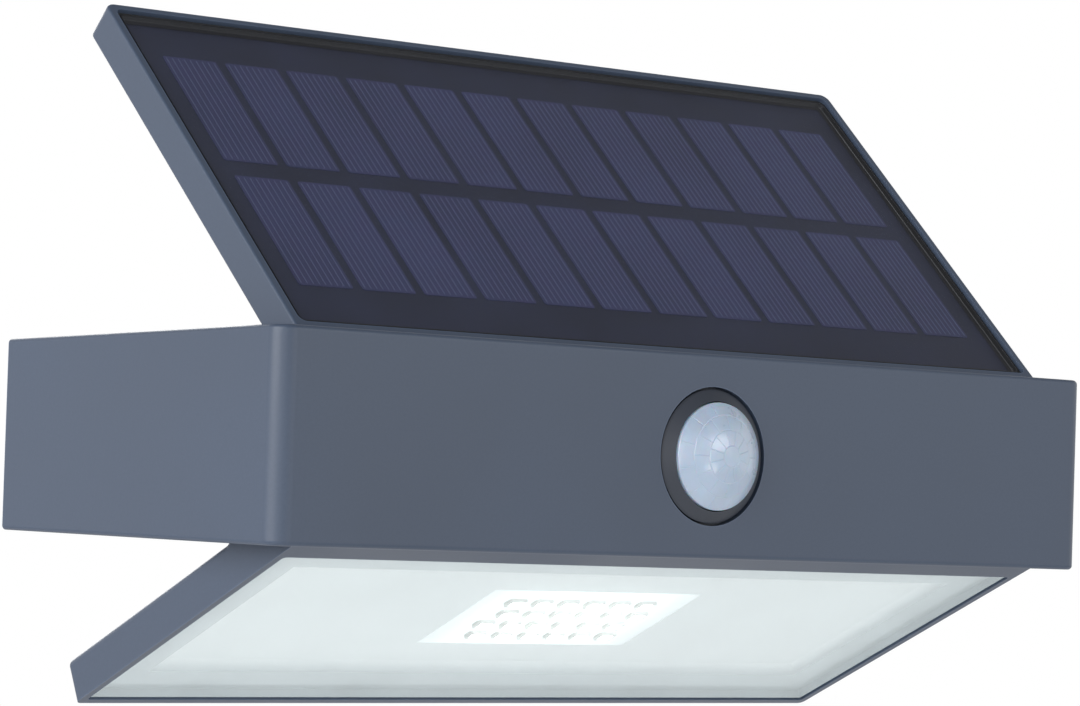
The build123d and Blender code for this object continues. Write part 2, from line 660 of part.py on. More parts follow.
TAB_FRONT = 5.75
LOCK_SCREW_Y = -5.0
save("back_cover", make_back_cover())
save("back_cover_gasket", make_cover_gasket())
save("back_cover_screws", *[make_cover_screw(x, z) for x, z in COVER_SCREWS])


# --- wall bracket and lock screws -----------------------------------------------------------------
def make_wall_bracket():
    half = BRACKET_WIDTH / 2
    plate = span((-half, half), (-BRACKET_PLATE, 0), (-BRACKET_TOP, BRACKET_TOP))
    for z in ((BRACKET_TOP - BRACKET_PLATE, BRACKET_TOP), (-BRACKET_TOP, -BRACKET_TOP + BRACKET_PLATE)):
        flange = span((-half, half), (-BRACKET_DEPTH, -BRACKET_PLATE), z)
        plate += fillet(flange.edges().filter_by(Axis.Z).group_by(Axis.Y)[0], BRACKET_CORNER_R)
    for x in (-TAB_X, TAB_X):
        tab_x = (x - TAB_WIDTH / 2, x + TAB_WIDTH / 2)
        tab = span(tab_x, (-TAB_FRONT, -TAB_FRONT + BRACKET_PLATE), (BRACKET_TOP, BRACKET_TOP + TAB_RISE))
        plate += fillet(tab.edges().filter_by(Axis.Y).group_by(Axis.Z)[-1], BRACKET_CORNER_R)
    for x in (-WALL_SLOT_SPACING / 2, WALL_SLOT_SPACING / 2):
        slot = Plane.XZ * Pos(x, 0) * SlotOverall(WALL_SLOT_LENGTH, 2 * WALL_SLOT_R)
        plate -= extrude(slot, amount=BRACKET_PLATE + 1, both=True)
    thread_z = (-BRACKET_TOP - 1, -BRACKET_TOP + BRACKET_PLATE + 1)
    for x in (-LOCK_SCREW_X, LOCK_SCREW_X):
        plate -= rod_z(LOCK_SCREW_R + SEAT_CLEARANCE, thread_z, x, LOCK_SCREW_Y)
    return plate


def make_lock_screw(x):
    low = -RIB_LOW - COVER_RIB
    shank = rod_z(LOCK_SCREW_R, (low, -BRACKET_TOP + BRACKET_PLATE + 1.5), x, LOCK_SCREW_Y)
    head = rod_z(LOCK_HEAD_R, (low - LOCK_HEAD, low), x, LOCK_SCREW_Y)
    head = fillet(head.edges().sort_by(Axis.Z)[0], 0.6)
    for half_x, half_y in ((1.7, 0.4), (0.4, 1.7)):
        cross_y = (LOCK_SCREW_Y - half_y, LOCK_SCREW_Y + half_y)
        head -= span((x - half_x, x + half_x), cross_y, (low - LOCK_HEAD, low - LOCK_HEAD + 1.0))
    return shank + head


save("wall_bracket", make_wall_bracket())
save("lock_screws", *[make_lock_screw(x) for x in (-LOCK_SCREW_X, LOCK_SCREW_X)])

# --- hinges ---------------------------------------------------------------------------------------
save("panel_hinge_pins", *hinge_pins("panel"))
save("panel_friction_washers", *hinge_washers("panel"))
save("head_hinge_pins", *hinge_pins("head"))
save("head_friction_washers", *hinge_washers("head"))


# --- solar panel, in its own frame: y along the panel, z = 0 on its face and negative behind -------
GLASS_HALF = PANEL_HALF - PANEL_LIP - GLASS_GAP
GLASS_S = (PANEL_LIP + GLASS_GAP, PANEL_LENGTH - PANEL_LIP - GLASS_GAP)
GLASS_BACK = -GLASS_SETBACK - GLASS_THICKNESS
SHEET_FRONT = GLASS_BACK - CELL_THICKNESS
SHEET_BACK = SHEET_FRONT - BACKSHEET_THICKNESS
LEDGE_DEPTH = SHEET_BACK - PANEL_SEAL_THICKNESS
CAVITY_BACK = -PANEL_THICKNESS + PANEL_BACK_WALL


def leaf_bore(half, pivot):
    """The two blind bores for the hinge pins, in the leaf's own frame."""
    return both(rod_x(PIN_R + RUN_CLEARANCE, (half - PIN_IN_LEAF - 0.3, half), *pivot))


def make_panel_tray():
    slab = span((-PANEL_HALF, PANEL_HALF), (PANEL_PIVOT[0], PANEL_LENGTH), (-PANEL_THICKNESS, 0))
    slab = fillet(slab.edges().filter_by(Axis.Z).group_by(Axis.Y)[-1], PANEL_CORNER_R)
    rims = slab.faces().sort_by(Axis.Z)[0].edges() + slab.faces().sort_by(Axis.Z)[-1].edges()
    slab = fillet(rims.filter_by(lambda edge: edge.center().Y > 0), PANEL_EDGE_R)
    tray = slab + rod_x(PANEL_THICKNESS / 2, (-PANEL_HALF, PANEL_HALF), *PANEL_PIVOT)
    half = PANEL_HALF - PANEL_LIP
    pocket_s = (PANEL_LIP, PANEL_LENGTH - PANEL_LIP)
    pocket = span((-half, half), pocket_s, (LEDGE_DEPTH, 0))
    pocket = fillet(pocket.edges().filter_by(Axis.Z), PANEL_CORNER_R - PANEL_EDGE_R)
    well = span(
        (-half + PANEL_LEDGE, half - PANEL_LEDGE),
        (pocket_s[0] + PANEL_LEDGE, pocket_s[1] - PANEL_LEDGE),
        (CAVITY_BACK, LEDGE_DEPTH),
    )
    bores = leaf_bore(PANEL_HALF, PANEL_PIVOT)
    tray = PANEL_FRAME * cut(tray, pocket, well, *bores, lead_duct(PANEL_LEAD, LEAD_BEND_R))
    # A thicker panel's rounded foot is relieved where it comes down on the sensor's tube.
    tube_room = SENSOR_BORE_R + SENSOR_TUBE_WALL + TUBE_CLEARANCE
    return tray - rod_y(tube_room, (WALL_BACK, CORE_FRONT))


PANEL_LEAD_X = PANEL_HALF - PIN_IN_LEAF - 8.5
PANEL_LEAD_Z = CAVITY_BACK + LEAD_R + 0.05
PANEL_LEAD = [
    (DIODE_BOARD_X + DIODE_BOARD[0] / 2, DIODE_BOARD_S, PANEL_LEAD_Z),
    (PANEL_LEAD_X, DIODE_BOARD_S, PANEL_LEAD_Z),
    (PANEL_LEAD_X, PANEL_PIVOT[0], PANEL_LEAD_Z),
    (PANEL_LEAD_X + 4.5, *PANEL_PIVOT),
    (BOSS_FACE["panel"], *PANEL_PIVOT),
]


def make_panel():
    save("panel_tray", make_panel_tray())
    x = (-GLASS_HALF, GLASS_HALF)

    def sheet(z):
        return fillet(span(x, GLASS_S, z).edges().filter_by(Axis.Z), PANEL_CORNER_R / 2)

    save("panel_glass", PANEL_FRAME * sheet((GLASS_BACK, -GLASS_SETBACK)))
    save("panel_backsheet", PANEL_FRAME * sheet((SHEET_BACK, SHEET_FRONT)))
    # The seal is an angle section: a foot under the sheet, and a rim that fills the gap round the glass.
    rim = GLASS_GAP - PANEL_SEAL_ROOM
    seal_z = (LEDGE_DEPTH, -GLASS_SETBACK - PANEL_SEAL_SETBACK)
    seal = span((x[0] - rim, x[1] + rim), (GLASS_S[0] - rim, GLASS_S[1] + rim), seal_z)
    seal = fillet(seal.edges().filter_by(Axis.Z), PANEL_CORNER_R - PANEL_EDGE_R - PANEL_SEAL_ROOM)
    foot = PANEL_LEDGE - GLASS_GAP
    seal_inner = span((x[0] + foot, x[1] - foot), (GLASS_S[0] + foot, GLASS_S[1] - foot), seal_z)
    save("panel_seal", PANEL_FRAME * cut(seal, sheet((SHEET_BACK, 0)), seal_inner))

    cells = []
    rows_length = GLASS_S[1] - GLASS_S[0] - CELL_MARGIN_LOW - CELL_MARGIN_HIGH
    cell_length = (rows_length - (CELL_ROWS - 1) * CELL_ROW_GAP) / CELL_ROWS
    first_x = -(CELL_COLUMNS * CELL_WIDTH + (CELL_COLUMNS - 1) * CELL_GAP) / 2
    for row in range(CELL_ROWS):
        low = GLASS_S[0] + CELL_MARGIN_LOW + row * (cell_length + CELL_ROW_GAP)
        for column in range(CELL_COLUMNS):
            left = first_x + column * (CELL_WIDTH + CELL_GAP)
            cell_x = (left, left + CELL_WIDTH)
            cells.append(span(cell_x, (low, low + cell_length), (SHEET_FRONT, GLASS_BACK)))
    save("solar_cells", *[PANEL_FRAME * cell for cell in cells])

    bus_z = (SHEET_BACK - BUS_THICKNESS, SHEET_BACK)
    bus_x = GLASS_HALF - BUS_FROM_EDGE
    bus_s = (DIODE_BOARD_S, GLASS_S[1] - BUS_FROM_EDGE)
    bus = span((bus_x - BUS_WIDTH / 2, bus_x + BUS_WIDTH / 2), bus_s, bus_z)
    save("panel_bus_strips", *[PANEL_FRAME * strip for strip in both(bus)])

    width, depth, thickness = DIODE_BOARD
    board_x = (DIODE_BOARD_X - width / 2, DIODE_BOARD_X + width / 2)
    board_s = (DIODE_BOARD_S - depth / 2, DIODE_BOARD_S + depth / 2)
    board = span(board_x, board_s, (CAVITY_BACK, CAVITY_BACK + thickness))
    diode = span((DIODE_BOARD_X - 7, DIODE_BOARD_X - 3), (DIODE_BOARD_S - 1.2, DIODE_BOARD_S + 1.2),
                 (CAVITY_BACK + thickness, CAVITY_BACK + thickness + 0.8))
    save("panel_diode_board", PANEL_FRAME * board)
    save("panel_diode", PANEL_FRAME * diode)
    save("panel_lead", PANEL_FRAME * lead(PANEL_LEAD, LEAD_BEND_R))


make_panel()


# --- light head, in its own frame: y along the head, z = 0 on the lens side and positive above -----
LENS_HALF = HEAD_HALF - HEAD_LIP - LENS_GAP
LENS_S = (HEAD_ROOT_LIP + LENS_GAP, HEAD_LENGTH - HEAD_LIP - LENS_GAP)
LENS_TOP = LENS_SETBACK + LENS_THICKNESS
GASKET_TOP = LENS_TOP + LENS_GASKET_THICKNESS
HEAD_CEILING = HEAD_THICKNESS - HEAD_BACK_WALL
SPREADER_LOW = HEAD_CEILING - SPREADER[2]
LED_BOARD_LOW = SPREADER_LOW - LED_BOARD[2]
WELL_HALF = HEAD_HALF - HEAD_LIP - HEAD_LEDGE
WELL_S = (HEAD_ROOT_LIP + HEAD_LEDGE, HEAD_LENGTH - HEAD_LIP - HEAD_LEDGE)


def head_local(y, z):
    """A point of the lamp's own (y, z) in the head's frame."""
    dy, dz = y - HEAD_FOOT[0], z - HEAD_FOOT[1]
    return (dy * cos(drop) - dz * sin(drop), dy * sin(drop) + dz * cos(drop))


def make_head_casing():
    hub_rear = BAND_FRONT + HEAD_HUB_REAR
    hub_low = head_local(hub_rear, -FRONT_HEIGHT / 2 - 4)
    hub_top_rear = head_local(hub_rear, HEAD_HUB_TOP)
    hub_top_front = head_local(HEAD_AXIS[0] + 2, HEAD_HUB_TOP)
    slab = make_face(Polyline(
        (HEAD_START, 0), (HEAD_LENGTH, 0), (HEAD_LENGTH, HEAD_THICKNESS),
        (HEAD_PIVOT[0] + 2.5, HEAD_THICKNESS), (HEAD_PIVOT[0], HEAD_PIVOT[1] + HEAD_NOSE_R),
        (HEAD_PIVOT[0] - HEAD_NOSE_R, HEAD_PIVOT[1]), close=True,
    ))
    hub = make_face(Polyline(
        (HEAD_PIVOT[0] + 2.5, HEAD_THICKNESS - 1), hub_low, hub_top_rear, hub_top_front, close=True,
    ))
    above_slab = Pos(20, HEAD_THICKNESS + 9) * Rectangle(80, 20)
    outline = slab + Pos(*HEAD_PIVOT) * Circle(HEAD_NOSE_R) + (hub & above_slab)
    inner_corner = outline.vertices().filter_by(
        lambda corner: abs(corner.Y - HEAD_THICKNESS) < 0.01 and 8 < corner.X < 30
    )
    outline = fillet(inner_corner, HEAD_HUB_FILLET)
    body = along_x(outline, HEAD_HALF)
    far = body.edges().filter_by(Axis.X).filter_by(lambda edge: edge.center().Y > HEAD_LENGTH - 0.1)
    body = fillet(far.sort_by(Axis.Z)[-1], HEAD_CORNER_R)
    body = fillet(body.edges().filter_by(Axis.Z).group_by(Axis.Y)[-1], HEAD_CORNER_R)
    half = HEAD_HALF - HEAD_LIP
    pocket = span((-half, half), (HEAD_ROOT_LIP, HEAD_LENGTH - HEAD_LIP), (0, GASKET_TOP))
    pocket = fillet(pocket.edges().filter_by(Axis.Z), HEAD_POCKET_R)
    well = span((-WELL_HALF, WELL_HALF), WELL_S, (GASKET_TOP, HEAD_CEILING))
    bores = leaf_bore(HEAD_HALF, HEAD_PIVOT)
    hole_z = (HEAD_CEILING - 1, HEAD_CEILING + SPREADER_SCREW_END + 0.2)
    screw_holes = both(rod_z(SPREADER_SCREW_R, hole_z, SPREADER_SCREW_X, LED_BOARD_S))
    return cut(body, pocket, well, *bores, lead_duct(HEAD_LEAD, LEAD_BEND_R), *screw_holes)


HEAD_LEAD_X = HEAD_HALF - PIN_IN_LEAF - 3.5
HEAD_LEAD_Z = HEAD_CEILING - LEAD_R - 0.02
HEAD_LEAD = [
    (SPREADER[0] / 2, LED_BOARD_S - 6, HEAD_LEAD_Z),
    (HEAD_LEAD_X, LED_BOARD_S - 6, HEAD_LEAD_Z),
    (HEAD_LEAD_X, WELL_S[0] + 2, HEAD_LEAD_Z),
    (HEAD_LEAD_X, *HEAD_PIVOT),
    (BOSS_FACE["head"], *HEAD_PIVOT),
]


def make_head():
    save("head_casing", HEAD_FRAME * make_head_casing())
    x = (-LENS_HALF, LENS_HALF)
    lens = span(x, LENS_S, (LENS_SETBACK, LENS_TOP))
    save("head_lens", HEAD_FRAME * fillet(lens.edges().filter_by(Axis.Z), 0.6))
    gasket_z = (LENS_TOP, GASKET_TOP)
    gasket_inner = span((-WELL_HALF, WELL_HALF), WELL_S, gasket_z)
    save("lens_gasket", HEAD_FRAME * (span(x, LENS_S, gasket_z) - gasket_inner))

    # The reflector is a shallow white dish: a sloping rim round a flat floor with the LED window.
    room = LOOSE_CLEARANCE
    rim_x = WELL_HALF - room
    rim_s = (WELL_S[0] + room, WELL_S[1] - room)
    middle_s = (rim_s[0] + rim_s[1]) / 2
    length = rim_s[1] - rim_s[0]
    floor_z = LED_BOARD_LOW

    def frustum(grow, low, high):
        base = Plane.XY.offset(low) * Pos(0, middle_s) * Rectangle(2 * (rim_x - grow), length - 2 * grow)
        inset = REFLECTOR_SLOPE + grow
        top_size = (2 * (rim_x - inset), length - 2 * inset)
        top = Plane.XY.offset(high) * Pos(0, middle_s) * Rectangle(*top_size)
        return loft([base.face(), top.face()])

    outer = frustum(0, LENS_TOP + 0.1, floor_z + REFLECTOR_WALL)
    inner = frustum(REFLECTOR_WALL, LENS_TOP + 0.1, floor_z)
    window = span(
        (-LED_BOARD[0] / 2 - room, LED_BOARD[0] / 2 + room),
        (LED_BOARD_S - LED_BOARD[1] / 2 - room, LED_BOARD_S + LED_BOARD[1] / 2 + room),
        (LENS_TOP, HEAD_CEILING),
    )
    save("reflector", HEAD_FRAME * cut(outer, inner, window))

    def plate(size, low):
        width, depth, thickness = size
        plate_s = (LED_BOARD_S - depth / 2, LED_BOARD_S + depth / 2)
        return span((-width / 2, width / 2), plate_s, (low, low + thickness))

    spreader = plate(SPREADER, SPREADER_LOW)
    screw_at = (SPREADER_SCREW_X, LED_BOARD_S)
    head_r, head_height = SPREADER_SCREW_HEAD
    hole = rod_z(SPREADER_SCREW_R + LOOSE_CLEARANCE, (SPREADER_LOW, HEAD_CEILING), *screw_at)
    shank_z = (SPREADER_LOW, HEAD_CEILING + SPREADER_SCREW_END)
    shank = rod_z(SPREADER_SCREW_R - SEAT_CLEARANCE, shank_z, *screw_at)
    screw = shank + rod_z(head_r, (SPREADER_LOW - head_height, SPREADER_LOW), *screw_at)
    save("heat_spreader", HEAD_FRAME * cut(spreader, *both(hole)))
    save("heat_spreader_screws", *[HEAD_FRAME * piece for piece in both(screw)])
    save("led_board", HEAD_FRAME * plate(LED_BOARD, LED_BOARD_LOW))

    leds = []
    for row in range(LED_ROWS):
        for column in range(LED_COLUMNS):
            x = (column - (LED_COLUMNS - 1) / 2) * LED_PITCH[0] + LED_ROW_SHIFT * (1 if row % 2 else -1)
            s = LED_BOARD_S + (row - (LED_ROWS - 1) / 2) * LED_PITCH[1]
            leds.append(span(
                (x - LED_SIZE[0] / 2, x + LED_SIZE[0] / 2),
                (s - LED_SIZE[1] / 2, s + LED_SIZE[1] / 2),
                (LED_BOARD_LOW - LED_SIZE[2], LED_BOARD_LOW),
            ))
    save("leds", *[HEAD_FRAME * led for led in leds])
    save("head_lead", HEAD_FRAME * lead(HEAD_LEAD, LEAD_BEND_R))


make_head()


# --- leads inside the housing ---------------------------------------------------------------------
def make_housing_leads():
    for leaf, name in PLUG_OF.items():
        save(f"{name}_lead", lead(hinge_lead_points(leaf)))
    x = CONNECTOR_X["sensor"]
    save("sensor_lead", lead([
        (0, SENSOR_BOARD_BACK, SENSOR_LEAD_Z), (0, LEAD_LANE, SENSOR_LEAD_Z),
        (x, LEAD_LANE, PLUG_Z), (x, CONNECTOR_Y[0], PLUG_Z),
    ]))
    holder_end = BATTERY_X + BATTERY_LENGTH / 2 + CONTACT_ROOM + HOLDER_WALL
    start_y, start_z = BATTERY_Y - 6, CORE_FLOOR + HOLDER_HEIGHT / 2
    save("battery_lead", lead([
        (holder_end, start_y, start_z), (holder_end + 7, start_y, start_z),
        (holder_end + 7, LEAD_LANE, LANE_Z["panel"]), *plug_points("battery", -1, LANE_Z["panel"]),
    ]))


make_housing_leads()
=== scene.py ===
import math

import bmesh
import bpy
from bpy.props import FloatProperty, FloatVectorProperty, IntProperty, PointerProperty
from mathutils import Euler, Matrix, Vector


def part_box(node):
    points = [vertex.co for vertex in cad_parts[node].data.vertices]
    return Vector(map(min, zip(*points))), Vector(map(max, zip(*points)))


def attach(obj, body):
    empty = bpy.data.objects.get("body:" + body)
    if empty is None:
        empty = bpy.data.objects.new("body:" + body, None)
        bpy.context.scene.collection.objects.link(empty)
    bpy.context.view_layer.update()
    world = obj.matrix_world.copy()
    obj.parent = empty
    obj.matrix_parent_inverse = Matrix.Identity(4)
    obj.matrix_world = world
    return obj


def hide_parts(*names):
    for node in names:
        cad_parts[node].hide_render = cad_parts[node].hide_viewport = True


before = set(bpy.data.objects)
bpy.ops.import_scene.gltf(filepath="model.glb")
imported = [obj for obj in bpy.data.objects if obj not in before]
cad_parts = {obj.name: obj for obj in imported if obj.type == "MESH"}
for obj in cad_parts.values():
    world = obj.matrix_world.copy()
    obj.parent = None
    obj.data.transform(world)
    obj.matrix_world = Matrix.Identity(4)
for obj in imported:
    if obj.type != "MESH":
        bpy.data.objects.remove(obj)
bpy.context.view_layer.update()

bl_info = {
    "name": "Wall-mounted solar lamp",
    "version": (1, 0, 0),
    "blender": (4, 5, 0),
    "location": "View3D > Sidebar > Solar Lamp",
    "description": "Dresses the packed lamp with its glass, cells, LEDs, sensor dome and finishes",
    "category": "Object",
}

MM = 0.001

# Directions and clearances that several pieces share
FLAT = 0.99
CELL_DEPTH = 0.07 * MM
LENS_CLEARANCE = 0.03 * MM

# Faces of the sensor dome: rings of faces in its middle pane and in each ring of panes, and across a sector
MIDDLE_STEPS = 4
RING_STEPS = 6
SECTOR_STEPS = 8
PANE_RISE = 0.05 * MM

# Colours of the circuit boards
BOARD_GREEN = (0.012, 0.075, 0.035)
COPPER_GREEN = (0.03, 0.14, 0.06)

# Stage
FLOOR_RADIUS = 6.0
FLOOR_SEGMENTS = 96
FILM_WIDTH = 36.0
LAMP_MIDDLE = Vector((0.0, -0.04, 0.0))


# --- frames and bmesh helpers ----------------------------------------------------------------------
def panel_turn():
    """The solar panel's own directions: y up along the panel, z out of its glass."""
    lean = bpy.context.scene.lamp_solar.lean
    return Matrix.Rotation(math.radians(90) - lean, 4, "X")


def head_turn():
    """The light head's own directions: y away from the housing, z up into the head."""
    return Matrix.Rotation(-bpy.context.scene.lamp_light.drop, 4, "X")


def span_in(node, turn):
    """Lowest and highest corner of a CAD node, measured in a turned frame."""
    back = turn.inverted()
    points = [back @ vertex.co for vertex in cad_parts[node].data.vertices]
    return (
        Vector([min(point[axis] for point in points) for axis in range(3)]),
        Vector([max(point[axis] for point in points) for axis in range(3)]),
    )


def bevel(bm, edges, width, segments):
    bmesh.ops.bevel(
        bm, geom=edges, offset=width, offset_type="OFFSET", segments=segments,
        profile=0.5, affect="EDGES", material=-1,
    )


def plate(low, high, corner=0.0, rim=0.0):
    """A new bmesh with one rectangular plate, its corners rounded in plan and its rims softened."""
    bm = bmesh.new()
    bmesh.ops.create_cube(bm, size=1.0)
    bmesh.ops.scale(bm, vec=high - low, verts=bm.verts)
    bmesh.ops.translate(bm, vec=(low + high) / 2, verts=bm.verts)
    if corner:
        upright = [e for e in bm.edges if abs(e.verts[0].co.z - e.verts[1].co.z) > corner * 0.01]
        bevel(bm, upright, corner, 5)
    if rim:
        flat = [f for f in bm.faces if abs(f.normal.z) > 0.9]
        bevel(bm, list({e for f in flat for e in f.edges}), rim, 2)
    return bm


def add_to(bm, other):
    """Moves another bmesh's geometry into this one."""
    mesh = bpy.data.meshes.new("passing")
    other.to_mesh(mesh)
    other.free()
    bm.from_mesh(mesh)
    bpy.data.meshes.remove(mesh)


def repeat(bm, steps):
    """Moves all of a bmesh's geometry by the first step, and leaves a copy at each other step."""
    first = bm.verts[:] + bm.edges[:] + bm.faces[:]
    copies = [bmesh.ops.duplicate(bm, geom=first)["geom"] for _ in steps[1:]]
    for geom, step in zip([first, *copies], steps):
        moved = [item for item in geom if isinstance(item, bmesh.types.BMVert)]
        bmesh.ops.translate(bm, vec=step, verts=moved)


def paint_faces(bm, index, test):
    for face in bm.faces:
        if test(face):
            face.material_index = index


def finish_piece(name, bm, materials, body, replaced=(), turn=None, sharp=12.0):
    """Makes the bmesh an object of the lamp that rides on a body and takes a slot's finish."""
    if not bm.faces:
        raise RuntimeError(f"{name} has no faces")
    bmesh.ops.remove_doubles(bm, verts=bm.verts, dist=1e-7)
    bmesh.ops.recalc_face_normals(bm, faces=bm.faces)
    if turn is not None:
        bmesh.ops.transform(bm, matrix=turn, verts=bm.verts)
    for face in bm.faces:
        face.smooth = True
    for edge in bm.edges:
        edge.smooth = edge.is_manifold and edge.calc_face_angle() < math.radians(sharp)
    mesh = bpy.data.meshes.new(name)
    bm.to_mesh(mesh)
    bm.free()
    for material in materials:
        mesh.materials.append(material)
    piece = bpy.data.objects.new(name, mesh)
    bpy.context.scene.collection.objects.link(piece)
    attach(piece, body)
    if replaced:
        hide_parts(*replaced)
    return piece


def dress(material, *nodes):
    """Gives CAD nodes a finish through their objects' material slots."""
    for node in nodes:
        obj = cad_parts[node]
        if not obj.material_slots:
            obj.data.materials.append(material)
        for slot in obj.material_slots:
            slot.material = material


# --- material helpers ------------------------------------------------------------------------------
class Finish:
    """One material with a Principled shader, and short ways to add the nodes that drive it."""

    def __init__(self, name, colour, roughness, **values):
        self.material = bpy.data.materials.new(name)
        self.material.use_nodes = True
        self.tree = self.material.node_tree
        self.shader = self.tree.nodes["Principled BSDF"]
        self.place = self.tree.nodes.new("ShaderNodeTexCoord").outputs["Object"]
        self.shader.inputs["Base Color"].default_value = (*colour, 1.0)
        self.shader.inputs["Roughness"].default_value = roughness
        for socket, value in values.items():
            self.shader.inputs[socket.replace("_", " ")].default_value = value

    def node(self, kind, inputs=None, **settings):
        node = self.tree.nodes.new(kind)
        for setting, value in settings.items():
            setattr(node, setting, value)
        for socket, value in (inputs or {}).items():
            if isinstance(value, bpy.types.NodeSocket):
                self.tree.links.new(value, node.inputs[socket])
            else:
                node.inputs[socket].default_value = value
        return node

    def stretched(self, scale):
        """The object's own coordinates, scaled unevenly, for grain that runs one way."""
        return self.node("ShaderNodeMapping", {"Vector": self.place, "Scale": scale}).outputs[0]

    def noise(self, size, detail=3.0, place=None):
        """Noise whose blotches are about this many metres across."""
        inputs = {"Vector": place or self.place, "Scale": 1.0 / size, "Detail": detail}
        return self.node("ShaderNodeTexNoise", inputs).outputs["Fac"]

    def cells(self, size):
        """Distance to the middle of crystals that are about this many metres across."""
        inputs = {"Vector": self.place, "Scale": 1.0 / size}
        return self.node("ShaderNodeTexVoronoi", inputs, feature="F1").outputs["Distance"]

    def between(self, value, low, high, start=0.3, end=0.7):
        """Maps a value's middle range onto low to high."""
        inputs = {"Value": value, "From Min": start, "From Max": end, "To Min": low, "To Max": high}
        return self.node("ShaderNodeMapRange", inputs).outputs["Result"]

    def math(self, operation, first, second=0.0):
        node = self.node("ShaderNodeMath", {0: first, 1: second}, operation=operation)
        return node.outputs[0]

    def blend(self, share, first, second):
        """A colour between two colours or colour sockets."""
        colours = [c if isinstance(c, bpy.types.NodeSocket) else (*c, 1.0) for c in (first, second)]
        inputs = {0: share, 6: colours[0], 7: colours[1]}
        return self.node("ShaderNodeMix", inputs, data_type="RGBA").outputs[2]

    def edges(self, width):
        """How much a surface bends within this distance, for wear along edges and, on the paint, a painted
        highlight along them.
        """
        rounded = self.node("ShaderNodeBevel", {"Radius": width}, samples=4).outputs[0]
        normal = self.node("ShaderNodeNewGeometry").outputs["Normal"]
        dot = self.node("ShaderNodeVectorMath", {0: rounded, 1: normal}, operation="DOT_PRODUCT")
        return self.between(dot.outputs["Value"], 1.0, 0.0, 0.75, 0.995)

    def colour(self, socket):
        self.tree.links.new(socket, self.shader.inputs["Base Color"])

    def rough(self, value, low, high):
        self.tree.links.new(self.between(value, low, high), self.shader.inputs["Roughness"])

    def bump(self, height, depth, strength=1.0):
        """Raises the surface by up to depth metres where the height is 1."""
        inputs = {"Height": height, "Distance": depth, "Strength": strength}
        bump = self.node("ShaderNodeBump", inputs)
        self.tree.links.new(bump.outputs[0], self.shader.inputs["Normal"])


def shade(colour, factor):
    return tuple(min(1.0, channel * factor) for channel in colour)


# --- finishes of the lamp --------------------------------------------------------------------------
def slate_paint(colour):
    """Satin paint on moulded plastic: a fine orange peel, faint cloudiness, and edges lighter partly from
    rubbing and partly as a painted highlight.
    """
    finish = Finish("slate_paint", colour, 0.42)
    clouds = finish.noise(0.035, 2.0)
    specks = finish.noise(0.0005, 2.0)
    tone = finish.blend(finish.between(clouds, 0.0, 1.0), shade(colour, 0.95), shade(colour, 1.05))
    tone = finish.blend(finish.between(specks, 0.0, 0.35), tone, shade(colour, 0.8))
    # Lighter edges: partly rubbed wear, partly a painted highlight along the fillets.
    edge_wear_and_painted_highlight = finish.math("MULTIPLY", finish.edges(0.5 * MM), finish.between(clouds, 0.35, 0.6))
    finish.colour(finish.blend(edge_wear_and_painted_highlight, tone, shade(colour, 2.2)))
    finish.rough(clouds, 0.36, 0.46)
    peel = finish.noise(0.0014, 2.0)
    finish.bump(peel, 0.02 * MM, 0.6)
    return finish.material


def moulded_plastic(name, colour, roughness, grain=0.0004):
    """Injection-moulded plastic with a fine spark-eroded grain."""
    finish = Finish(name, colour, roughness)
    clouds = finish.noise(0.02, 2.0)
    tone = finish.blend(finish.between(clouds, 0.0, 1.0), shade(colour, 0.9), shade(colour, 1.1))
    worn = finish.math("MULTIPLY", finish.edges(0.3 * MM), 0.35)
    finish.colour(finish.blend(worn, tone, shade(colour, 1.9)))
    finish.rough(clouds, roughness - 0.05, roughness + 0.06)
    finish.bump(finish.noise(grain, 2.0), 0.012 * MM, 0.8)
    return finish.material


def soft_rubber(colour, name="soft_rubber"):
    """Moulded silicone: matt, with bloom in faint patches."""
    finish = Finish(name, colour, 0.75, Sheen_Weight=0.04)
    bloom = finish.noise(0.006, 4.0)
    finish.colour(finish.blend(finish.between(bloom, 0.0, 0.5), colour, shade(colour, 1.4)))
    finish.rough(bloom, 0.66, 0.85)
    finish.bump(finish.noise(0.0003), 0.01 * MM)
    return finish.material


def plated_steel(name, colour, low, high, flakes=0.0025):
    """Plated steel: a crystalline bloom in its gloss, and duller edges."""
    finish = Finish(name, colour, (low + high) / 2, Metallic=1.0)
    bloom = finish.cells(flakes)
    haze = finish.noise(0.008, 4.0)
    tone = finish.blend(finish.between(bloom, 0.0, 1.0, 0.0, 0.8), shade(colour, 0.88), colour)
    worn = finish.math("MULTIPLY", finish.edges(0.2 * MM), 0.4)
    finish.colour(finish.blend(worn, tone, shade(colour, 1.3)))
    finish.rough(haze, low, high)
    finish.bump(finish.noise(0.0006), 0.004 * MM)
    return finish.material


def brushed_metal(name, colour, roughness, along):
    """Metal with fine straight brush lines that run along one axis."""
    finish = Finish(name, colour, roughness, Metallic=1.0)
    scale = [0.04 if axis == along else 1.0 for axis in range(3)]
    lines = finish.noise(0.00018, 2.0, finish.stretched(scale))
    finish.colour(finish.blend(finish.between(lines, 0.0, 1.0), shade(colour, 0.85), shade(colour, 1.08)))
    finish.rough(lines, roughness - 0.08, roughness + 0.1)
    finish.bump(lines, 0.004 * MM)
    return finish.material


def natural_nylon():
    """Unfilled nylon: waxy, slightly see-through off-white."""
    colour = (0.62, 0.6, 0.53)
    finish = Finish("natural_nylon", colour, 0.45, Subsurface_Weight=0.3, Subsurface_Scale=0.6 * MM)
    clouds = finish.noise(0.003)
    finish.colour(finish.blend(finish.between(clouds, 0.0, 1.0), shade(colour, 0.93), shade(colour, 1.05)))
    finish.rough(clouds, 0.38, 0.52)
    finish.bump(finish.noise(0.0005), 0.006 * MM)
    return finish.material


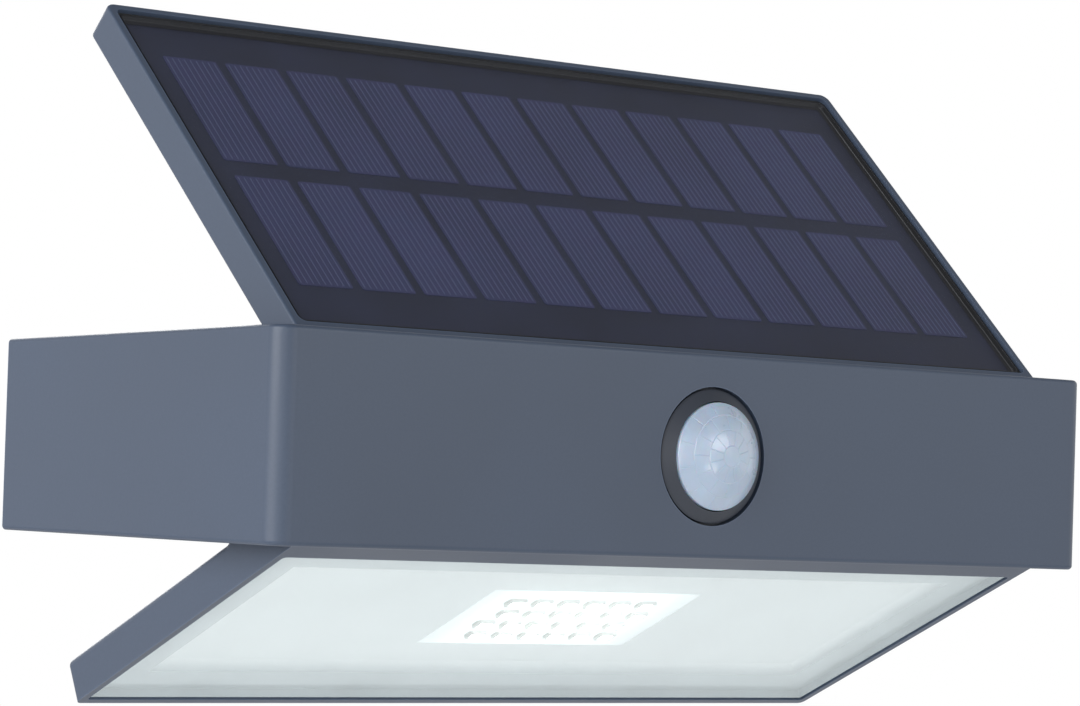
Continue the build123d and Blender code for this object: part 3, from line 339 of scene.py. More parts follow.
def solder_mask(name, colour, copper):
    """Circuit board: solder mask with the paler copper runs that lie beneath it."""
    finish = Finish(name, colour, 0.32, Coat_Weight=0.3, Coat_Roughness=0.15)
    turned = finish.node("ShaderNodeMapping", {"Vector": finish.place, "Rotation": (0.0, 0.0, 0.78)})
    brick = finish.node(
        "ShaderNodeTexBrick",
        {"Vector": turned.outputs[0], "Color1": (0, 0, 0, 1), "Color2": (0.3, 0.3, 0.3, 1),
         "Mortar": (1, 1, 1, 1), "Scale": 220.0, "Mortar Size": 0.05, "Mortar Smooth": 0.2},
    )
    runs = finish.math("MULTIPLY", brick.outputs["Color"], 0.8)
    finish.colour(finish.blend(runs, colour, copper))
    finish.rough(finish.noise(0.004), 0.27, 0.4)
    finish.bump(runs, 0.02 * MM)
    return finish.material


def shrink_wrap():
    """Printed shrink film on the battery: glossy, drawn into faint rings."""
    colour = (0.03, 0.17, 0.09)
    finish = Finish("shrink_wrap", colour, 0.28, Coat_Weight=0.5, Coat_Roughness=0.2)
    rings = finish.noise(0.002, 2.0, finish.stretched((1.0, 0.15, 0.15)))
    finish.colour(finish.blend(finish.between(rings, 0.0, 1.0), shade(colour, 0.85), shade(colour, 1.15)))
    finish.rough(rings, 0.22, 0.36)
    finish.bump(rings, 0.03 * MM)
    return finish.material


def lead_insulation():
    """Extruded lead insulation: smooth, with faint drawn marks."""
    colour = (0.025, 0.024, 0.027)
    finish = Finish("lead_insulation", colour, 0.4)
    marks = finish.noise(0.0009)
    finish.colour(finish.blend(finish.between(marks, 0.0, 0.6), colour, shade(colour, 2.2)))
    finish.rough(marks, 0.33, 0.5)
    finish.bump(marks, 0.01 * MM)
    return finish.material


def silicon(colour):
    """A solar cell's blue anti-reflection film, uneven from cell to cell and along each cell."""
    finish = Finish("solar_silicon", colour, 0.34, Specular_IOR_Level=0.25)
    turn = panel_turn().inverted().to_euler()
    leaf = finish.node("ShaderNodeMapping", {"Vector": finish.place, "Rotation": turn}).outputs[0]
    drift = finish.noise(0.028, 1.0, leaf)
    film = finish.noise(0.004, 3.0, leaf)
    tone = finish.blend(finish.between(drift, 0.0, 1.0), shade(colour, 0.82), shade(colour, 1.18))
    violet = (colour[0] * 1.5, colour[1] * 1.05, colour[2] * 1.12)
    finish.colour(finish.blend(finish.between(film, 0.0, 0.5), tone, violet))
    finish.rough(film, 0.28, 0.42)
    finish.bump(finish.noise(0.0002), 0.003 * MM)
    return finish.material


def silver_paste(colour):
    """Fired contact paste: matt and slightly uneven."""
    finish = Finish("contact_paste", colour, 0.5, Metallic=0.2)
    finish.colour(finish.blend(finish.noise(0.0008), shade(colour, 0.85), shade(colour, 1.15)))
    finish.rough(finish.noise(0.0005), 0.42, 0.6)
    return finish.material


def navy_backsheet(colour):
    """Laminate behind the cells: a dark polyester film with a fine woven print-through."""
    finish = Finish("navy_backsheet", colour, 0.38, Specular_IOR_Level=0.2)
    clouds = finish.noise(0.012, 3.0)
    finish.colour(finish.blend(finish.between(clouds, 0.0, 1.0), shade(colour, 0.85), shade(colour, 1.2)))
    finish.rough(clouds, 0.32, 0.48)
    finish.bump(finish.noise(0.0007), 0.01 * MM)
    return finish.material


def clear_pane(name, tint, haze, haze_colour, roughness, ior=1.45):
    """A clear pane: it passes what lies behind it, mirrors by angle, and scatters a little light."""
    finish = Finish(name, haze_colour, roughness)
    smears = finish.noise(0.02, 4.0)
    passed = finish.node("ShaderNodeBsdfTransparent", {"Color": (*tint, 1.0)}).outputs[0]
    finish.rough(smears, roughness, roughness + 0.06)
    share = finish.between(smears, haze * 0.8, haze * 1.2)
    body = finish.node("ShaderNodeMixShader", {0: share, 1: passed, 2: finish.shader.outputs[0]})
    gloss = finish.node("ShaderNodeBsdfGlossy", {"Roughness": roughness, "Color": (1, 1, 1, 1)})
    fresnel = finish.node("ShaderNodeFresnel", {"IOR": ior})
    front = finish.node(
        "ShaderNodeMixShader", {0: fresnel.outputs[0], 1: body.outputs[0], 2: gloss.outputs[0]}
    ).outputs[0]
    inside = finish.node("ShaderNodeNewGeometry").outputs["Backfacing"]
    whole = finish.node("ShaderNodeMixShader", {0: inside, 1: front, 2: passed}).outputs[0]
    finish.tree.links.new(whole, finish.tree.nodes["Material Output"].inputs["Surface"])
    return finish.material


def frosted_print(colour):
    """The lens's ground edges and the pale border printed on its back, a little blotchy."""
    finish = Finish("frosted_print", colour, 0.55)
    cloud = finish.noise(0.012, 3.0)
    finish.colour(finish.blend(finish.between(cloud, 0.0, 1.0), shade(colour, 0.94), shade(colour, 1.04)))
    finish.rough(cloud, 0.48, 0.62)
    finish.bump(finish.noise(0.0004), 0.004 * MM)
    passed = finish.node("ShaderNodeBsdfTransparent").outputs[0]
    thin = finish.node("ShaderNodeMixShader", {0: 0.7, 1: passed, 2: finish.shader.outputs[0]})
    finish.tree.links.new(thin.outputs[0], finish.tree.nodes["Material Output"].inputs["Surface"])
    return finish.material


def white_moulding(colour, glow):
    """White reflector plastic: satin, with faint flow marks, and a painted glow that stands in for the
    LEDs' light on it.
    """
    lit = (0.93, 0.98, 1.0, 1.0)
    # Painted light: the emission makes the reflector glow as if lit by the LEDs.
    finish = Finish("white_moulding", colour, 0.42, Emission_Color=lit, Emission_Strength=glow)
    flow = finish.noise(0.015, 2.0)
    finish.colour(finish.blend(finish.between(flow, 0.0, 1.0), shade(colour, 0.97), shade(colour, 1.02)))
    finish.rough(flow, 0.36, 0.5)
    finish.bump(finish.noise(0.0006), 0.006 * MM)
    return finish.material


def white_board_painted_glow(colour, glow):
    """The LED board's white mask, with a painted glow that stands in for light from between the packages,
    dimmer towards its ends.
    """
    finish = Finish("led_board_white_painted_glow", colour, 0.4, Emission_Color=(0.95, 0.98, 1.0, 1.0))
    cloud = finish.noise(0.006, 2.0)
    finish.colour(finish.blend(finish.between(cloud, 0.0, 1.0), shade(colour, 0.96), colour))
    finish.rough(cloud, 0.35, 0.5)
    parts = finish.node("ShaderNodeSeparateXYZ", {0: finish.place}).outputs
    off_centre = finish.math("ABSOLUTE", parts["X"])
    # Painted light: the glow fades away from the board's middle, the way light falls off away from the
    # packages.
    strength = finish.between(off_centre, glow, glow * 0.45, 0.012, 0.025)
    finish.tree.links.new(strength, finish.shader.inputs["Emission Strength"])
    return finish.material


def phosphor(strength):
    """The LED's lit window: cool white over faintly warm phosphor grains."""
    colour = (0.9, 0.86, 0.55)
    finish = Finish("led_phosphor", colour, 0.5, Emission_Strength=strength)
    grains = finish.noise(0.0003)
    lit = finish.blend(finish.between(grains, 0.0, 1.0), (1.0, 0.97, 0.9), (0.95, 0.98, 1.0))
    finish.tree.links.new(lit, finish.shader.inputs["Emission Color"])
    finish.colour(finish.blend(grains, shade(colour, 0.9), colour))
    finish.rough(grains, 0.4, 0.6)
    return finish.material


def milky_dome(colour):
    """The sensor's polyethylene lens: milky, soft-edged light inside and a waxy gloss."""
    finish = Finish(
        "milky_dome", colour, 0.3, Subsurface_Weight=0.5, Subsurface_Scale=1.5 * MM,
        Coat_Weight=0.8, Coat_IOR=1.7, Coat_Roughness=0.16,
    )
    cloud = finish.noise(0.004, 2.0)
    finish.colour(finish.blend(finish.between(cloud, 0.0, 1.0), shade(colour, 0.95), shade(colour, 1.03)))
    finish.rough(cloud, 0.26, 0.36)
    finish.bump(finish.noise(0.0004), 0.004 * MM)
    return finish.material


# --- settings --------------------------------------------------------------------------------------
class ShellSettings(bpy.types.PropertyGroup):
    paint: FloatVectorProperty(
        name="Paint", description="Colour of the painted mouldings", subtype="COLOR", size=3,
        min=0.0, max=1.0, default=(0.051, 0.071, 0.112),
    )
    cover: FloatVectorProperty(
        name="Back cover", description="Colour of the plastic back cover", subtype="COLOR", size=3,
        min=0.0, max=1.0, default=(0.018, 0.019, 0.021),
    )
    rubber: FloatVectorProperty(
        name="Rubber", description="Colour of the seals and the button", subtype="COLOR", size=3,
        min=0.0, max=1.0, default=(0.012, 0.0125, 0.014),
    )
    pale_rubber: FloatVectorProperty(
        name="Lens gasket", description="Colour of the gasket behind the lens", subtype="COLOR",
        size=3, min=0.0, max=1.0, default=(0.62, 0.68, 0.7),
    )
    steel: FloatVectorProperty(
        name="Plated steel", description="Colour of the bracket and the screws", subtype="COLOR",
        size=3, min=0.0, max=1.0, default=(0.62, 0.63, 0.64),
    )


class SensorSettings(bpy.types.PropertyGroup):
    dome_radius: FloatProperty(
        name="Dome radius", description="Radius of the dome where it meets its flange",
        default=9.55 * MM, min=0.004, unit="LENGTH",
    )
    wall: FloatProperty(
        name="Wall", description="Thickness of the dome", default=0.9 * MM, min=0.0003, unit="LENGTH",
    )
    flange: FloatProperty(
        name="Flange", description="Thickness of the dome's flange", default=1.0 * MM, min=0.0003,
        unit="LENGTH",
    )
    cap: FloatProperty(
        name="Cap", description="Height of the domed cap above its rim", default=3.6 * MM, min=0.001,
        unit="LENGTH",
    )
    sectors: IntProperty(name="Sectors", description="Lens panes round the dome", default=12, min=6)
    rings: IntProperty(name="Rings", description="Rings of panes below the middle one", default=3, min=1)
    groove: FloatProperty(
        name="Groove", description="Width of the groove between panes", default=0.11 * MM, min=0.0,
        unit="LENGTH",
    )
    dome: FloatVectorProperty(
        name="Dome", description="Colour of the milky dome", subtype="COLOR", size=3,
        min=0.0, max=1.0, default=(0.385, 0.475, 0.6),
    )
    bezel: FloatVectorProperty(
        name="Bezel", description="Colour of the ring round the dome", subtype="COLOR", size=3,
        min=0.0, max=1.0, default=(0.03, 0.036, 0.05),
    )


class SolarSettings(bpy.types.PropertyGroup):
    lean: FloatProperty(
        name="Lean", description="Angle of the panel from upright", default=math.radians(46.0),
        subtype="ANGLE",
    )
    columns: IntProperty(name="Columns", description="Cells across the panel", default=12, min=1)
    rows: IntProperty(name="Rows", description="Rows of cells", default=2, min=1)
    gap: FloatProperty(
        name="Gap", description="Gap between cells in a row", default=1.94 * MM, unit="LENGTH",
    )
    row_gap: FloatProperty(
        name="Row gap", description="Gap between the rows", default=4.0 * MM, unit="LENGTH",
    )
    fingers: IntProperty(name="Fingers", description="Contact lines on a cell", default=9, min=2)
    finger_width: FloatProperty(
        name="Finger width", description="Width of a contact line", default=0.16 * MM, unit="LENGTH",
    )
    # Painted shadow: the black band round the glass stands in for the shadow in the gap between the glass
    # and the tray's lip.
    edge_width: FloatProperty(
        name="Glass edge", description="Width of the black band round the glass", default=1.0 * MM,
        unit="LENGTH",
    )
    silicon: FloatVectorProperty(
        name="Cells", description="Colour of the cells", subtype="COLOR", size=3,
        min=0.0, max=1.0, default=(0.033, 0.04, 0.1),
    )
    paste: FloatVectorProperty(
        name="Contacts", description="Colour of the contact lines", subtype="COLOR", size=3,
        min=0.0, max=1.0, default=(0.11, 0.125, 0.21),
    )
    backsheet: FloatVectorProperty(
        name="Backsheet", description="Colour between and round the cells", subtype="COLOR", size=3,
        min=0.0, max=1.0, default=(0.018, 0.021, 0.042),
    )


class LightSettings(bpy.types.PropertyGroup):
    drop: FloatProperty(
        name="Drop", description="Angle of the head below level", default=math.radians(24.8),
        subtype="ANGLE",
    )
    columns: IntProperty(name="Columns", description="LEDs across the board", default=6, min=1)
    rows: IntProperty(name="Rows", description="Rows of LEDs", default=4, min=1)
    row_shift: FloatProperty(
        name="Row shift", description="How far each row steps to the side", default=0.9 * MM,
        unit="LENGTH",
    )
    led_size: FloatVectorProperty(
        name="LED", description="Width and depth of an LED", size=2, default=(3.5 * MM, 2.8 * MM),
        unit="LENGTH",
    )
    window_border: FloatProperty(
        name="Window border", description="Rim round an LED's lit window", default=0.3 * MM,
        unit="LENGTH",
    )
    led_strength: FloatProperty(
        name="LED strength", description="Brightness of the lit windows", default=18.0, min=0.0,
    )
    # Painted light: the board's own glow stands in for light scattered between the LEDs.
    board_painted_glow: FloatProperty(
        name="Board glow", description="Light scattered on the board", default=0.7, min=0.0,
    )
    # Painted light: the reflector's own glow stands in for the LEDs' light scattered in it.
    reflector_painted_glow: FloatProperty(
        name="Reflector glow", description="Light scattered in the reflector", default=0.12, min=0.0,
    )
    border_width: FloatProperty(
        name="Border", description="Width of the print round the lens", default=8.0 * MM,
        unit="LENGTH",
    )
    border: FloatVectorProperty(
        name="Border colour", description="Colour of the print round the lens", subtype="COLOR",
        size=3, min=0.0, max=1.0, default=(0.56, 0.65, 0.68),
    )
    white: FloatVectorProperty(
        name="Reflector", description="Colour of the reflector and the board", subtype="COLOR",
        size=3, min=0.0, max=1.0, default=(0.85, 0.88, 0.89),
    )
    lens_tint: FloatVectorProperty(
        name="Lens tint", description="What the lens lets through", subtype="COLOR", size=3,
        min=0.0, max=1.0, default=(0.96, 0.98, 0.98),
    )


class StageSettings(bpy.types.PropertyGroup):
    azimuth: FloatProperty(
        name="Azimuth", description="Camera's angle to the lamp's left", subtype="ANGLE",
        default=math.radians(39.68),
    )
    rise: FloatProperty(
        name="Rise", description="Angle at which the camera looks up", subtype="ANGLE",
        default=math.radians(1.66),
    )
    roll: FloatProperty(
        name="Roll", description="Camera's turn about its own axis", subtype="ANGLE",
        default=math.radians(1.84),
    )
    distance: FloatProperty(
        name="Distance", description="From the camera to the lamp's middle", default=0.7663,
        unit="LENGTH",
    )
    aim: FloatVectorProperty(
        name="Aim", description="Point that the camera's axis passes through", size=3,
        default=(-0.0036, -0.03825, 0.00616), unit="LENGTH",
    )
    focal: FloatProperty(
        name="Focal length", description="Focal length in millimetres", default=138.75,
    )
    shift: FloatProperty(name="Shift", description="Vertical lens shift", default=0.0632)
    floor_drop: FloatProperty(
        name="Floor", description="Height of the lamp's middle above the floor", default=0.9,
        unit="LENGTH",
    )
    floor_glow: FloatProperty(
        name="Floor glow", description="Light that the studio floor gives off", default=0.12, min=0.0,
    )
    floor: FloatVectorProperty(
        name="Floor colour", description="Colour of the studio floor", subtype="COLOR", size=3,
        min=0.0, max=1.0, default=(0.86, 0.865, 0.87),
    )


# --- pieces ----------------------------------------------------------------------------------------
class PaintShell(bpy.types.Operator):
    """Paint the housing, the panel's tray and the head's casing"""

    bl_idname = "lamp.paint_shell"
    bl_label = "Painted mouldings"

    def execute(self, context):
        settings = context.scene.lamp_shell
        dress(slate_paint(settings.paint), "housing", "panel_tray", "head_casing")
        return {"FINISHED"}


class BackHardware(bpy.types.Operator):
    """Finish the back cover, the wall bracket, the screws and the seals"""

    bl_idname = "lamp.back_hardware"
    bl_label = "Back cover and bracket"

    def execute(self, context):
        settings = context.scene.lamp_shell
        dress(moulded_plastic("cover_black", settings.cover, 0.5), "back_cover")
        zinc = plated_steel("zinc_steel", settings.steel, 0.26, 0.42)
        dress(
            zinc, "wall_bracket", "lock_screws", "back_cover_screws", "control_board_screws",
            "heat_spreader_screws",
        )
        rubber = soft_rubber(settings.rubber)
        dress(rubber, "back_cover_gasket", "sensor_gasket", "panel_seal", "mode_button")
        dress(soft_rubber(settings.pale_rubber, "pale_silicone"), "lens_gasket")
        return {"FINISHED"}


class Hinges(bpy.types.Operator):
    """Finish the hinge pins and their friction washers"""

    bl_idname = "lamp.hinges"
    bl_label = "Hinges"

    def execute(self, context):
        pins = brushed_metal("bright_steel", (0.58, 0.57, 0.55), 0.28, along=0)
        dress(pins, "panel_hinge_pins", "head_hinge_pins", "battery_contacts", "panel_bus_strips")
        dress(natural_nylon(), "panel_friction_washers", "head_friction_washers", "sensor_holder")
        return {"FINISHED"}


class SensorDome(bpy.types.Operator):
    """Model the sensor's milky dome with its lens panes, and finish its bezel and its insides"""

    bl_idname = "lamp.sensor_dome"
    bl_label = "Motion sensor"

    def execute(self, context):
        settings = context.scene.lamp_sensor
        bm = dome_shell(settings)
        groove_panes(bm, settings)
        finish_piece(
            "sensor_dome", bm, [milky_dome(settings.dome)], "housing",
            replaced=["sensor_lens"], sharp=15.0,
        )
        dress(moulded_plastic("bezel_charcoal", settings.bezel, 0.42), "sensor_bezel")
        dress(solder_mask("circuit_board", BOARD_GREEN, COPPER_GREEN), "sensor_board")
        dress(brushed_metal("sensor_can_steel", (0.6, 0.59, 0.57), 0.22, along=1), "sensor_can")
        return {"FINISHED"}


def dome_sphere(settings):
    """Radius of the cap's outer sphere and the place of its centre on the dome's axis."""
    low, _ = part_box("sensor_lens")
    radius = (settings.dome_radius ** 2 + settings.cap ** 2) / (2 * settings.cap)
    return radius, low.y + radius


def dome_shell(settings):
    """The closed shell: cap, tube and flange outside, tube and cap inside, spun about its axis."""
    low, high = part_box("sensor_lens")
    radius, centre = dome_sphere(settings)
    reach = math.asin(settings.dome_radius / radius)
    hollow = settings.dome_radius - settings.wall
    hollow_radius = radius - settings.wall
    hollow_reach = math.asin(hollow / hollow_radius)
    bm = bmesh.new()
    middle = Vector((0.0, centre, 0.0))
    arc = {"cent": middle, "axis": (1.0, 0.0, 0.0), "steps": ring_steps(settings), "use_merge": False}
    tip = bm.verts.new((0.0, low.y, 0.0))
    inner_rim = bm.verts.new((0.0, centre - hollow_radius * math.cos(hollow_reach), hollow))
    bmesh.ops.spin(bm, geom=[tip], angle=-reach, **arc)
    bmesh.ops.spin(bm, geom=[inner_rim], angle=hollow_reach, **arc)
    rim = max((v for v in bm.verts if v is not inner_rim), key=lambda v: v.co.z)
    corners = [
        (settings.dome_radius, high.y - settings.flange), (high.x, high.y - settings.flange),
        (high.x, high.y), (hollow, high.y),
    ]
    chain = [rim, *(bm.verts.new((0.0, depth, across)) for across, depth in corners), inner_rim]
    for pair in zip(chain, chain[1:]):
        bm.edges.new(pair)
    bmesh.ops.spin(
        bm, geom=bm.verts[:] + bm.edges[:], cent=(0.0, 0.0, 0.0), axis=(0.0, 1.0, 0.0),
        angle=math.tau, steps=settings.sectors * SECTOR_STEPS, use_merge=True,
    )
    bmesh.ops.remove_doubles(bm, verts=bm.verts, dist=1e-6)
    bmesh.ops.recalc_face_normals(bm, faces=bm.faces)
    return bm


def ring_steps(settings):
    """Rings of faces from the dome's tip to its rim."""
    return MIDDLE_STEPS + settings.rings * RING_STEPS


def groove_panes(bm, settings):
    """Raises each lens pane of the outer cap a little, which leaves grooves between the panes."""
    radius, centre = dome_sphere(settings)
    reach = math.asin(settings.dome_radius / radius)
    middle = reach * MIDDLE_STEPS / ring_steps(settings)
    ring_width = (reach - middle) / settings.rings
    panes = {}
    for face in bm.faces:
        spoke = face.calc_center_median() - Vector((0.0, centre, 0.0))
        polar = spoke.angle(Vector((0.0, -1.0, 0.0)))
        if polar > reach or abs(spoke.length - radius) > settings.wall * 0.3:
            continue
        ring = 0 if polar < middle else 1 + int((polar - middle) / ring_width)
        turn = math.atan2(spoke.z, spoke.x) / math.tau * settings.sectors
        sector = 0 if ring == 0 else math.floor(turn + 0.5 * (ring % 2)) % settings.sectors
        panes.setdefault((ring, sector), []).append(face)
    for faces in panes.values():
        bmesh.ops.inset_region(
            bm, faces=faces, use_boundary=True, use_even_offset=True, thickness=settings.groove,
            depth=PANE_RISE,
        )


class SolarPanel(bpy.types.Operator):
    """Model the solar cells with their contact lines and the cover glass"""

    bl_idname = "lamp.solar_panel"
    bl_label = "Solar panel"

    def execute(self, context):
        settings = context.scene.lamp_solar
        turn = panel_turn()
        materials = [silicon(settings.silicon), silver_paste(settings.paste)]
        finish_piece(
            "solar_cell_array", cell_array(settings, turn), materials, "panel",
            replaced=["solar_cells"], turn=turn,
        )
        low, high = span_in("panel_glass", turn)
        pane = plate(low, high, corner=1.0 * MM, rim=0.18 * MM)
        glass = clear_pane("panel_glass", (0.95, 0.96, 0.98), 0.015, (0.4, 0.45, 0.6), 0.06, ior=1.33)
        # The black on the glass's edges and its back border is a painted shadow of the gap round the glass.
        print_border(pane, low, high, settings.edge_width, front=1)
        edge = moulded_plastic("painted_shadow_black", (0.006, 0.006, 0.008), 0.4)
        finish_piece(
            "panel_cover_glass", pane, [glass, edge], "panel",
            replaced=["panel_glass"], turn=turn,
        )
        dress(navy_backsheet(settings.backsheet), "panel_backsheet")
        dress(solder_mask("diode_board", BOARD_GREEN, COPPER_GREEN), "panel_diode_board")
        dress(moulded_plastic("diode_black", (0.015, 0.015, 0.016), 0.45), "panel_diode")
        return {"FINISHED"}


def cell_array(settings, turn):
    """All cells, each a thin wafer with raised contact lines, in the panel's own frame."""
    low, high = span_in("solar_cells", turn)
    width = (high.x - low.x - (settings.columns - 1) * settings.gap) / settings.columns
    length = (high.y - low.y - (settings.rows - 1) * settings.row_gap) / settings.rows
    face = high.z - CELL_DEPTH
    finger_rise = 0.03 * MM
    margin = 0.5 * MM
    bm = plate(low, Vector((low.x + width, low.y + length, face)), corner=0.5 * MM)
    pitch = width / settings.fingers
    centre = low.x + pitch / 2
    line = plate(
        Vector((centre - settings.finger_width / 2, low.y + margin, face - finger_rise)),
        Vector((centre + settings.finger_width / 2, low.y + length - margin, face + finger_rise)),
    )
    paint_faces(line, 1, lambda _: True)
    repeat(line, [Vector((i * pitch, 0.0, 0.0)) for i in range(settings.fingers)])
    add_to(bm, line)
    steps = [
        Vector((column * (width + settings.gap), row * (length + settings.row_gap), 0.0))
        for row in range(settings.rows)
        for column in range(settings.columns)
    ]
    repeat(bm, steps)
    return bm


class LightHead(bpy.types.Operator):
    """Model the LED packages and the head's lens, and finish the reflector and the board"""

    bl_idname = "lamp.light_head"
    bl_label = "Light head"

    def execute(self, context):
        settings = context.scene.lamp_light
        turn = head_turn()
        body = moulded_plastic("led_package", (0.82, 0.82, 0.8), 0.4, grain=0.0003)
        tin = plated_steel("tinned_lead", (0.7, 0.7, 0.68), 0.25, 0.4, flakes=0.0006)
        finish_piece(
            "led_packages", led_array(settings, turn),
            [body, phosphor(settings.led_strength), tin], "head",
            replaced=["leds"], turn=turn,
        )
        low, high = span_in("head_lens", turn)
        high.z -= LENS_CLEARANCE
        pane = plate(low, high, corner=0.6 * MM, rim=0.25 * MM)
        print_border(pane, low, high, settings.border_width, front=-1)
        lens = clear_pane("lens_pane", settings.lens_tint, 0.12, (0.86, 0.9, 0.91), 0.08)
        finish_piece(
            "head_lens_pane", pane, [lens, frosted_print(settings.border)], "head",
            replaced=["head_lens"], turn=turn,
        )
        dress(white_moulding(settings.white, settings.reflector_painted_glow), "reflector")
        dress(white_board_painted_glow(settings.white, settings.board_painted_glow), "led_board")
        dress(brushed_metal("spreader_aluminium", (0.7, 0.71, 0.72), 0.35, along=0), "heat_spreader")
        return {"FINISHED"}


def print_border(pane, low, high, width, front):
    """Gives a pane's edges and a border on its back the second material.

    The front is 1 or -1, the way along z that the pane's outer face looks.
    """
    for axis in range(2):
        across = Vector([float(axis == place) for place in range(3)])
        for cut in (low[axis] + width, high[axis] - width):
            whole = pane.verts[:] + pane.edges[:] + pane.faces[:]
            bmesh.ops.bisect_plane(pane, geom=whole, plane_co=across * cut, plane_no=across)

    def printed(face):
        middle = face.calc_center_median()
        inside = all(low[axis] + width < middle[axis] < high[axis] - width for axis in range(2))
        facing = face.normal.z * front
        return facing < FLAT and not (inside and facing < -FLAT)

    paint_faces(pane, 1, printed)


def led_array(settings, turn):
    """All LED packages with their lit windows and tinned ends, in the head's own frame."""
    low, high = span_in("leds", turn)
    width, depth = settings.led_size
    shift = settings.row_shift
    tab_reach = 0.35 * MM
    tab_overlap = 0.1 * MM
    tab_inset = 0.5 * MM
    tab_height = 0.25 * MM
    window_slope = 0.08 * MM
    window_depth = 0.12 * MM
    pitch_x = (high.x - low.x - width - 2 * shift) / (settings.columns - 1)
    pitch_y = (high.y - low.y - depth) / (settings.rows - 1)
    bm = plate(low, Vector((low.x + width, low.y + depth, high.z)), rim=0.1 * MM)
    lit = [face for face in bm.faces if face.normal.z < -FLAT]
    bmesh.ops.inset_individual(
        bm, faces=lit, thickness=settings.window_border, depth=0.0, use_even_offset=True,
    )
    bmesh.ops.inset_individual(
        bm, faces=lit, thickness=window_slope, depth=-window_depth, use_even_offset=True,
    )
    for face in lit:
        face.material_index = 1
    tab = plate(
        Vector((low.x - tab_reach, low.y + tab_inset, high.z - tab_height)),
        Vector((low.x + tab_overlap, low.y + depth - tab_inset, high.z)),
        rim=0.08 * MM,
    )
    paint_faces(tab, 2, lambda _: True)
    repeat(tab, [Vector((0.0, 0.0, 0.0)), Vector((width + tab_reach - tab_overlap, 0.0, 0.0))])
    add_to(bm, tab)
    steps = [
        Vector((column * pitch_x + (2 * shift if row % 2 else 0.0), row * pitch_y, 0.0))
        for row in range(settings.rows)
        for column in range(settings.columns)
    ]
    repeat(bm, steps)
    return bm


class Electronics(bpy.types.Operator):
    """Finish the battery, the control board and the leads inside the housing"""

    bl_idname = "lamp.electronics"
    bl_label = "Battery and electronics"

    def execute(self, context):
        dress(shrink_wrap(), "battery_cell")
        dress(
            moulded_plastic("black_moulding", (0.014, 0.014, 0.015), 0.5),
            "battery_holder", "control_board_parts", "mode_switch",
        )
        dress(moulded_plastic("connector_white", (0.75, 0.73, 0.68), 0.42), "lead_connectors")
        dress(solder_mask("control_board", BOARD_GREEN, COPPER_GREEN), "control_board")
        dress(
            lead_insulation(), "solar_lead", "light_lead", "sensor_lead", "battery_lead",
            "panel_lead", "head_lead",
        )
        return {"FINISHED"}


# --- stage -----------------------------------------------------------------------------------------
class Stage(bpy.types.Operator):
    """Set up the pale floor, the soft studio light and the camera"""

    bl_idname = "lamp.stage"
    bl_label = "Stage"

    def execute(self, context):
        settings = context.scene.lamp_stage
        make_floor(settings)
        make_world(context.scene)
        make_lights()
        make_camera(context.scene, settings)
        context.scene.view_settings.view_transform = "Standard"
        return {"FINISHED"}


def make_floor(settings):
    bm = bmesh.new()
    bmesh.ops.create_circle(bm, cap_ends=True, radius=FLOOR_RADIUS, segments=FLOOR_SEGMENTS)
    bmesh.ops.translate(bm, vec=(0.0, 0.0, -settings.floor_drop), verts=bm.verts)
    bmesh.ops.recalc_face_normals(bm, faces=bm.faces)
    mesh = bpy.data.meshes.new("studio_floor")
    bm.to_mesh(mesh)
    bm.free()
    glow = {"Emission_Color": (1.0, 1.0, 1.0, 1.0), "Emission_Strength": settings.floor_glow}
    finish = Finish("studio_floor", settings.floor, 0.7, **glow)
    cloud = finish.noise(0.4, 3.0)
    share = finish.between(cloud, 0.0, 1.0)
    finish.colour(finish.blend(share, shade(settings.floor, 0.985), settings.floor))
    finish.rough(cloud, 0.65, 0.8)
    mesh.materials.append(finish.material)
    floor = bpy.data.objects.new("studio_floor", mesh)
    bpy.context.scene.collection.objects.link(floor)


def make_world(scene):
    """A white room: bright round the horizon, dimmer overhead."""
    world = bpy.data.worlds.new("studio")
    world.use_nodes = True
    nodes, links = world.node_tree.nodes, world.node_tree.links
    background = nodes["Background"]
    place = nodes.new("ShaderNodeTexCoord")
    parts = nodes.new("ShaderNodeSeparateXYZ")
    dim = nodes.new("ShaderNodeMapRange")
    dim.interpolation_type = "SMOOTHSTEP"
    heights_and_strengths = {"From Min": 0.22, "From Max": 0.75, "To Min": 1.0, "To Max": 0.19}
    for socket, value in heights_and_strengths.items():
        dim.inputs[socket].default_value = value
    links.new(place.outputs["Generated"], parts.inputs[0])
    links.new(parts.outputs["Z"], dim.inputs["Value"])
    links.new(dim.outputs["Result"], background.inputs["Strength"])
    background.inputs["Color"].default_value = (1.0, 1.0, 1.0, 1.0)
    scene.world = world


def make_lights():
    softbox("key_softbox", (-1.55, -0.2, 0.5), (1.5, 1.4), 25.0)
    softbox("corner_strip", (-1.0, -1.25, 0.1), (0.07, 1.1), 1.6)
    softbox("front_softbox", (0.5, -1.36, 0.42), (0.8, 0.42), 2.7)
    softbox("front_card", (0.14, -1.05, -0.25), (0.36, 0.14), 0.5)
    softbox("rear_softbox", (0.8, 1.5, 0.6), (1.4, 1.2), 18.0)


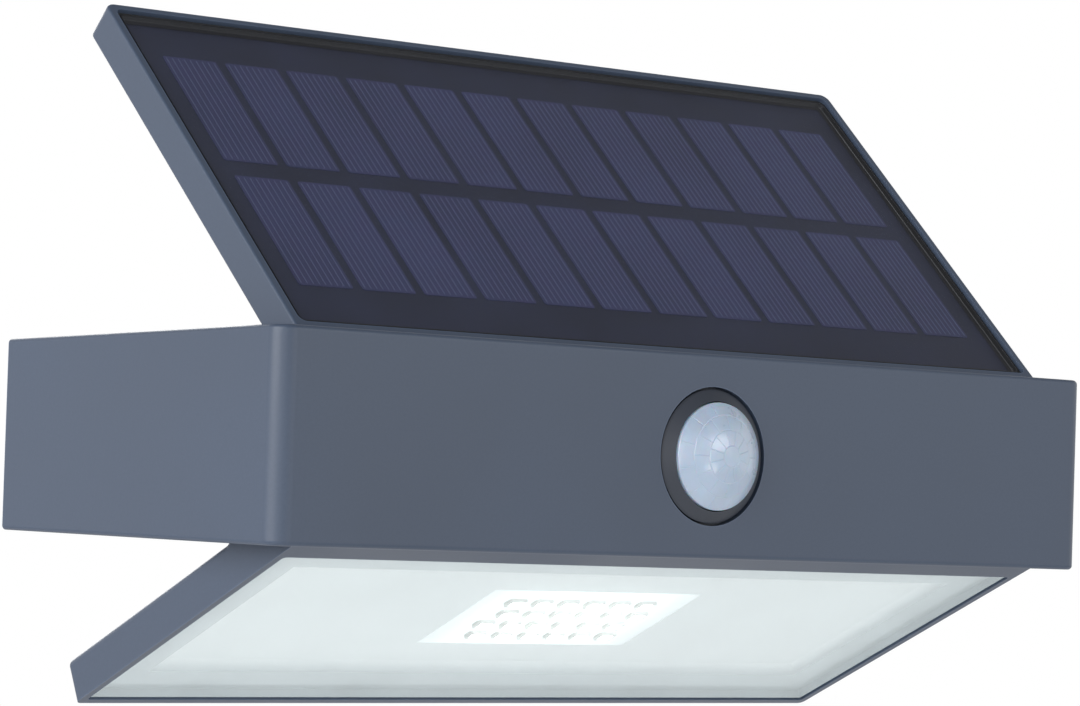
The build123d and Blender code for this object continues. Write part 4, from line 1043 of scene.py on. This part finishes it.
def softbox(name, place, size, power):
    """A rectangular light that looks at the lamp's middle."""
    light = bpy.data.lights.new(name, "AREA")
    light.shape = "RECTANGLE"
    light.size, light.size_y = size
    light.energy = power
    lamp = bpy.data.objects.new(name, light)
    lamp.location = place
    aim = LAMP_MIDDLE - Vector(place)
    lamp.rotation_euler = aim.to_track_quat("-Z", "Y").to_euler()
    bpy.context.scene.collection.objects.link(lamp)


def make_camera(scene, settings):
    data = bpy.data.cameras.new("camera")
    data.lens = settings.focal
    data.sensor_width = FILM_WIDTH
    data.shift_y = settings.shift
    data.clip_start = 0.01
    camera = bpy.data.objects.new("camera", data)
    level = Euler((math.radians(90) + settings.rise, 0.0, -settings.azimuth)).to_matrix()
    turned = level @ Matrix.Rotation(settings.roll, 3, "Z")
    camera.rotation_euler = turned.to_euler()
    camera.location = Vector(settings.aim) + turned @ Vector((0.0, 0.0, settings.distance))
    scene.collection.objects.link(camera)
    scene.camera = camera


# --- add-on ----------------------------------------------------------------------------------------
PIECES = (PaintShell, BackHardware, Hinges, SensorDome, SolarPanel, LightHead, Electronics, Stage)
SETTINGS = {
    "lamp_shell": ShellSettings,
    "lamp_sensor": SensorSettings,
    "lamp_solar": SolarSettings,
    "lamp_light": LightSettings,
    "lamp_stage": StageSettings,
}


class LampPanel(bpy.types.Panel):
    """Lists the lamp's pieces and its stage"""

    bl_label = "Solar Lamp"
    bl_idname = "LAMP_PT_pieces"
    bl_space_type = "VIEW_3D"
    bl_region_type = "UI"
    bl_category = "Solar Lamp"

    def draw(self, context):
        for piece in PIECES:
            self.layout.operator(piece.bl_idname)


def register():
    for group in (*SETTINGS.values(), *PIECES, LampPanel):
        bpy.utils.register_class(group)
    for name, group in SETTINGS.items():
        setattr(bpy.types.Scene, name, PointerProperty(type=group))


def unregister():
    for name in SETTINGS:
        delattr(bpy.types.Scene, name)
    for group in reversed((*SETTINGS.values(), *PIECES, LampPanel)):
        bpy.utils.unregister_class(group)


def main():
    register()
    for piece in PIECES:
        group, action = piece.bl_idname.split(".")
        getattr(getattr(bpy.ops, group), action)()


if __name__ == "__main__":
    main()
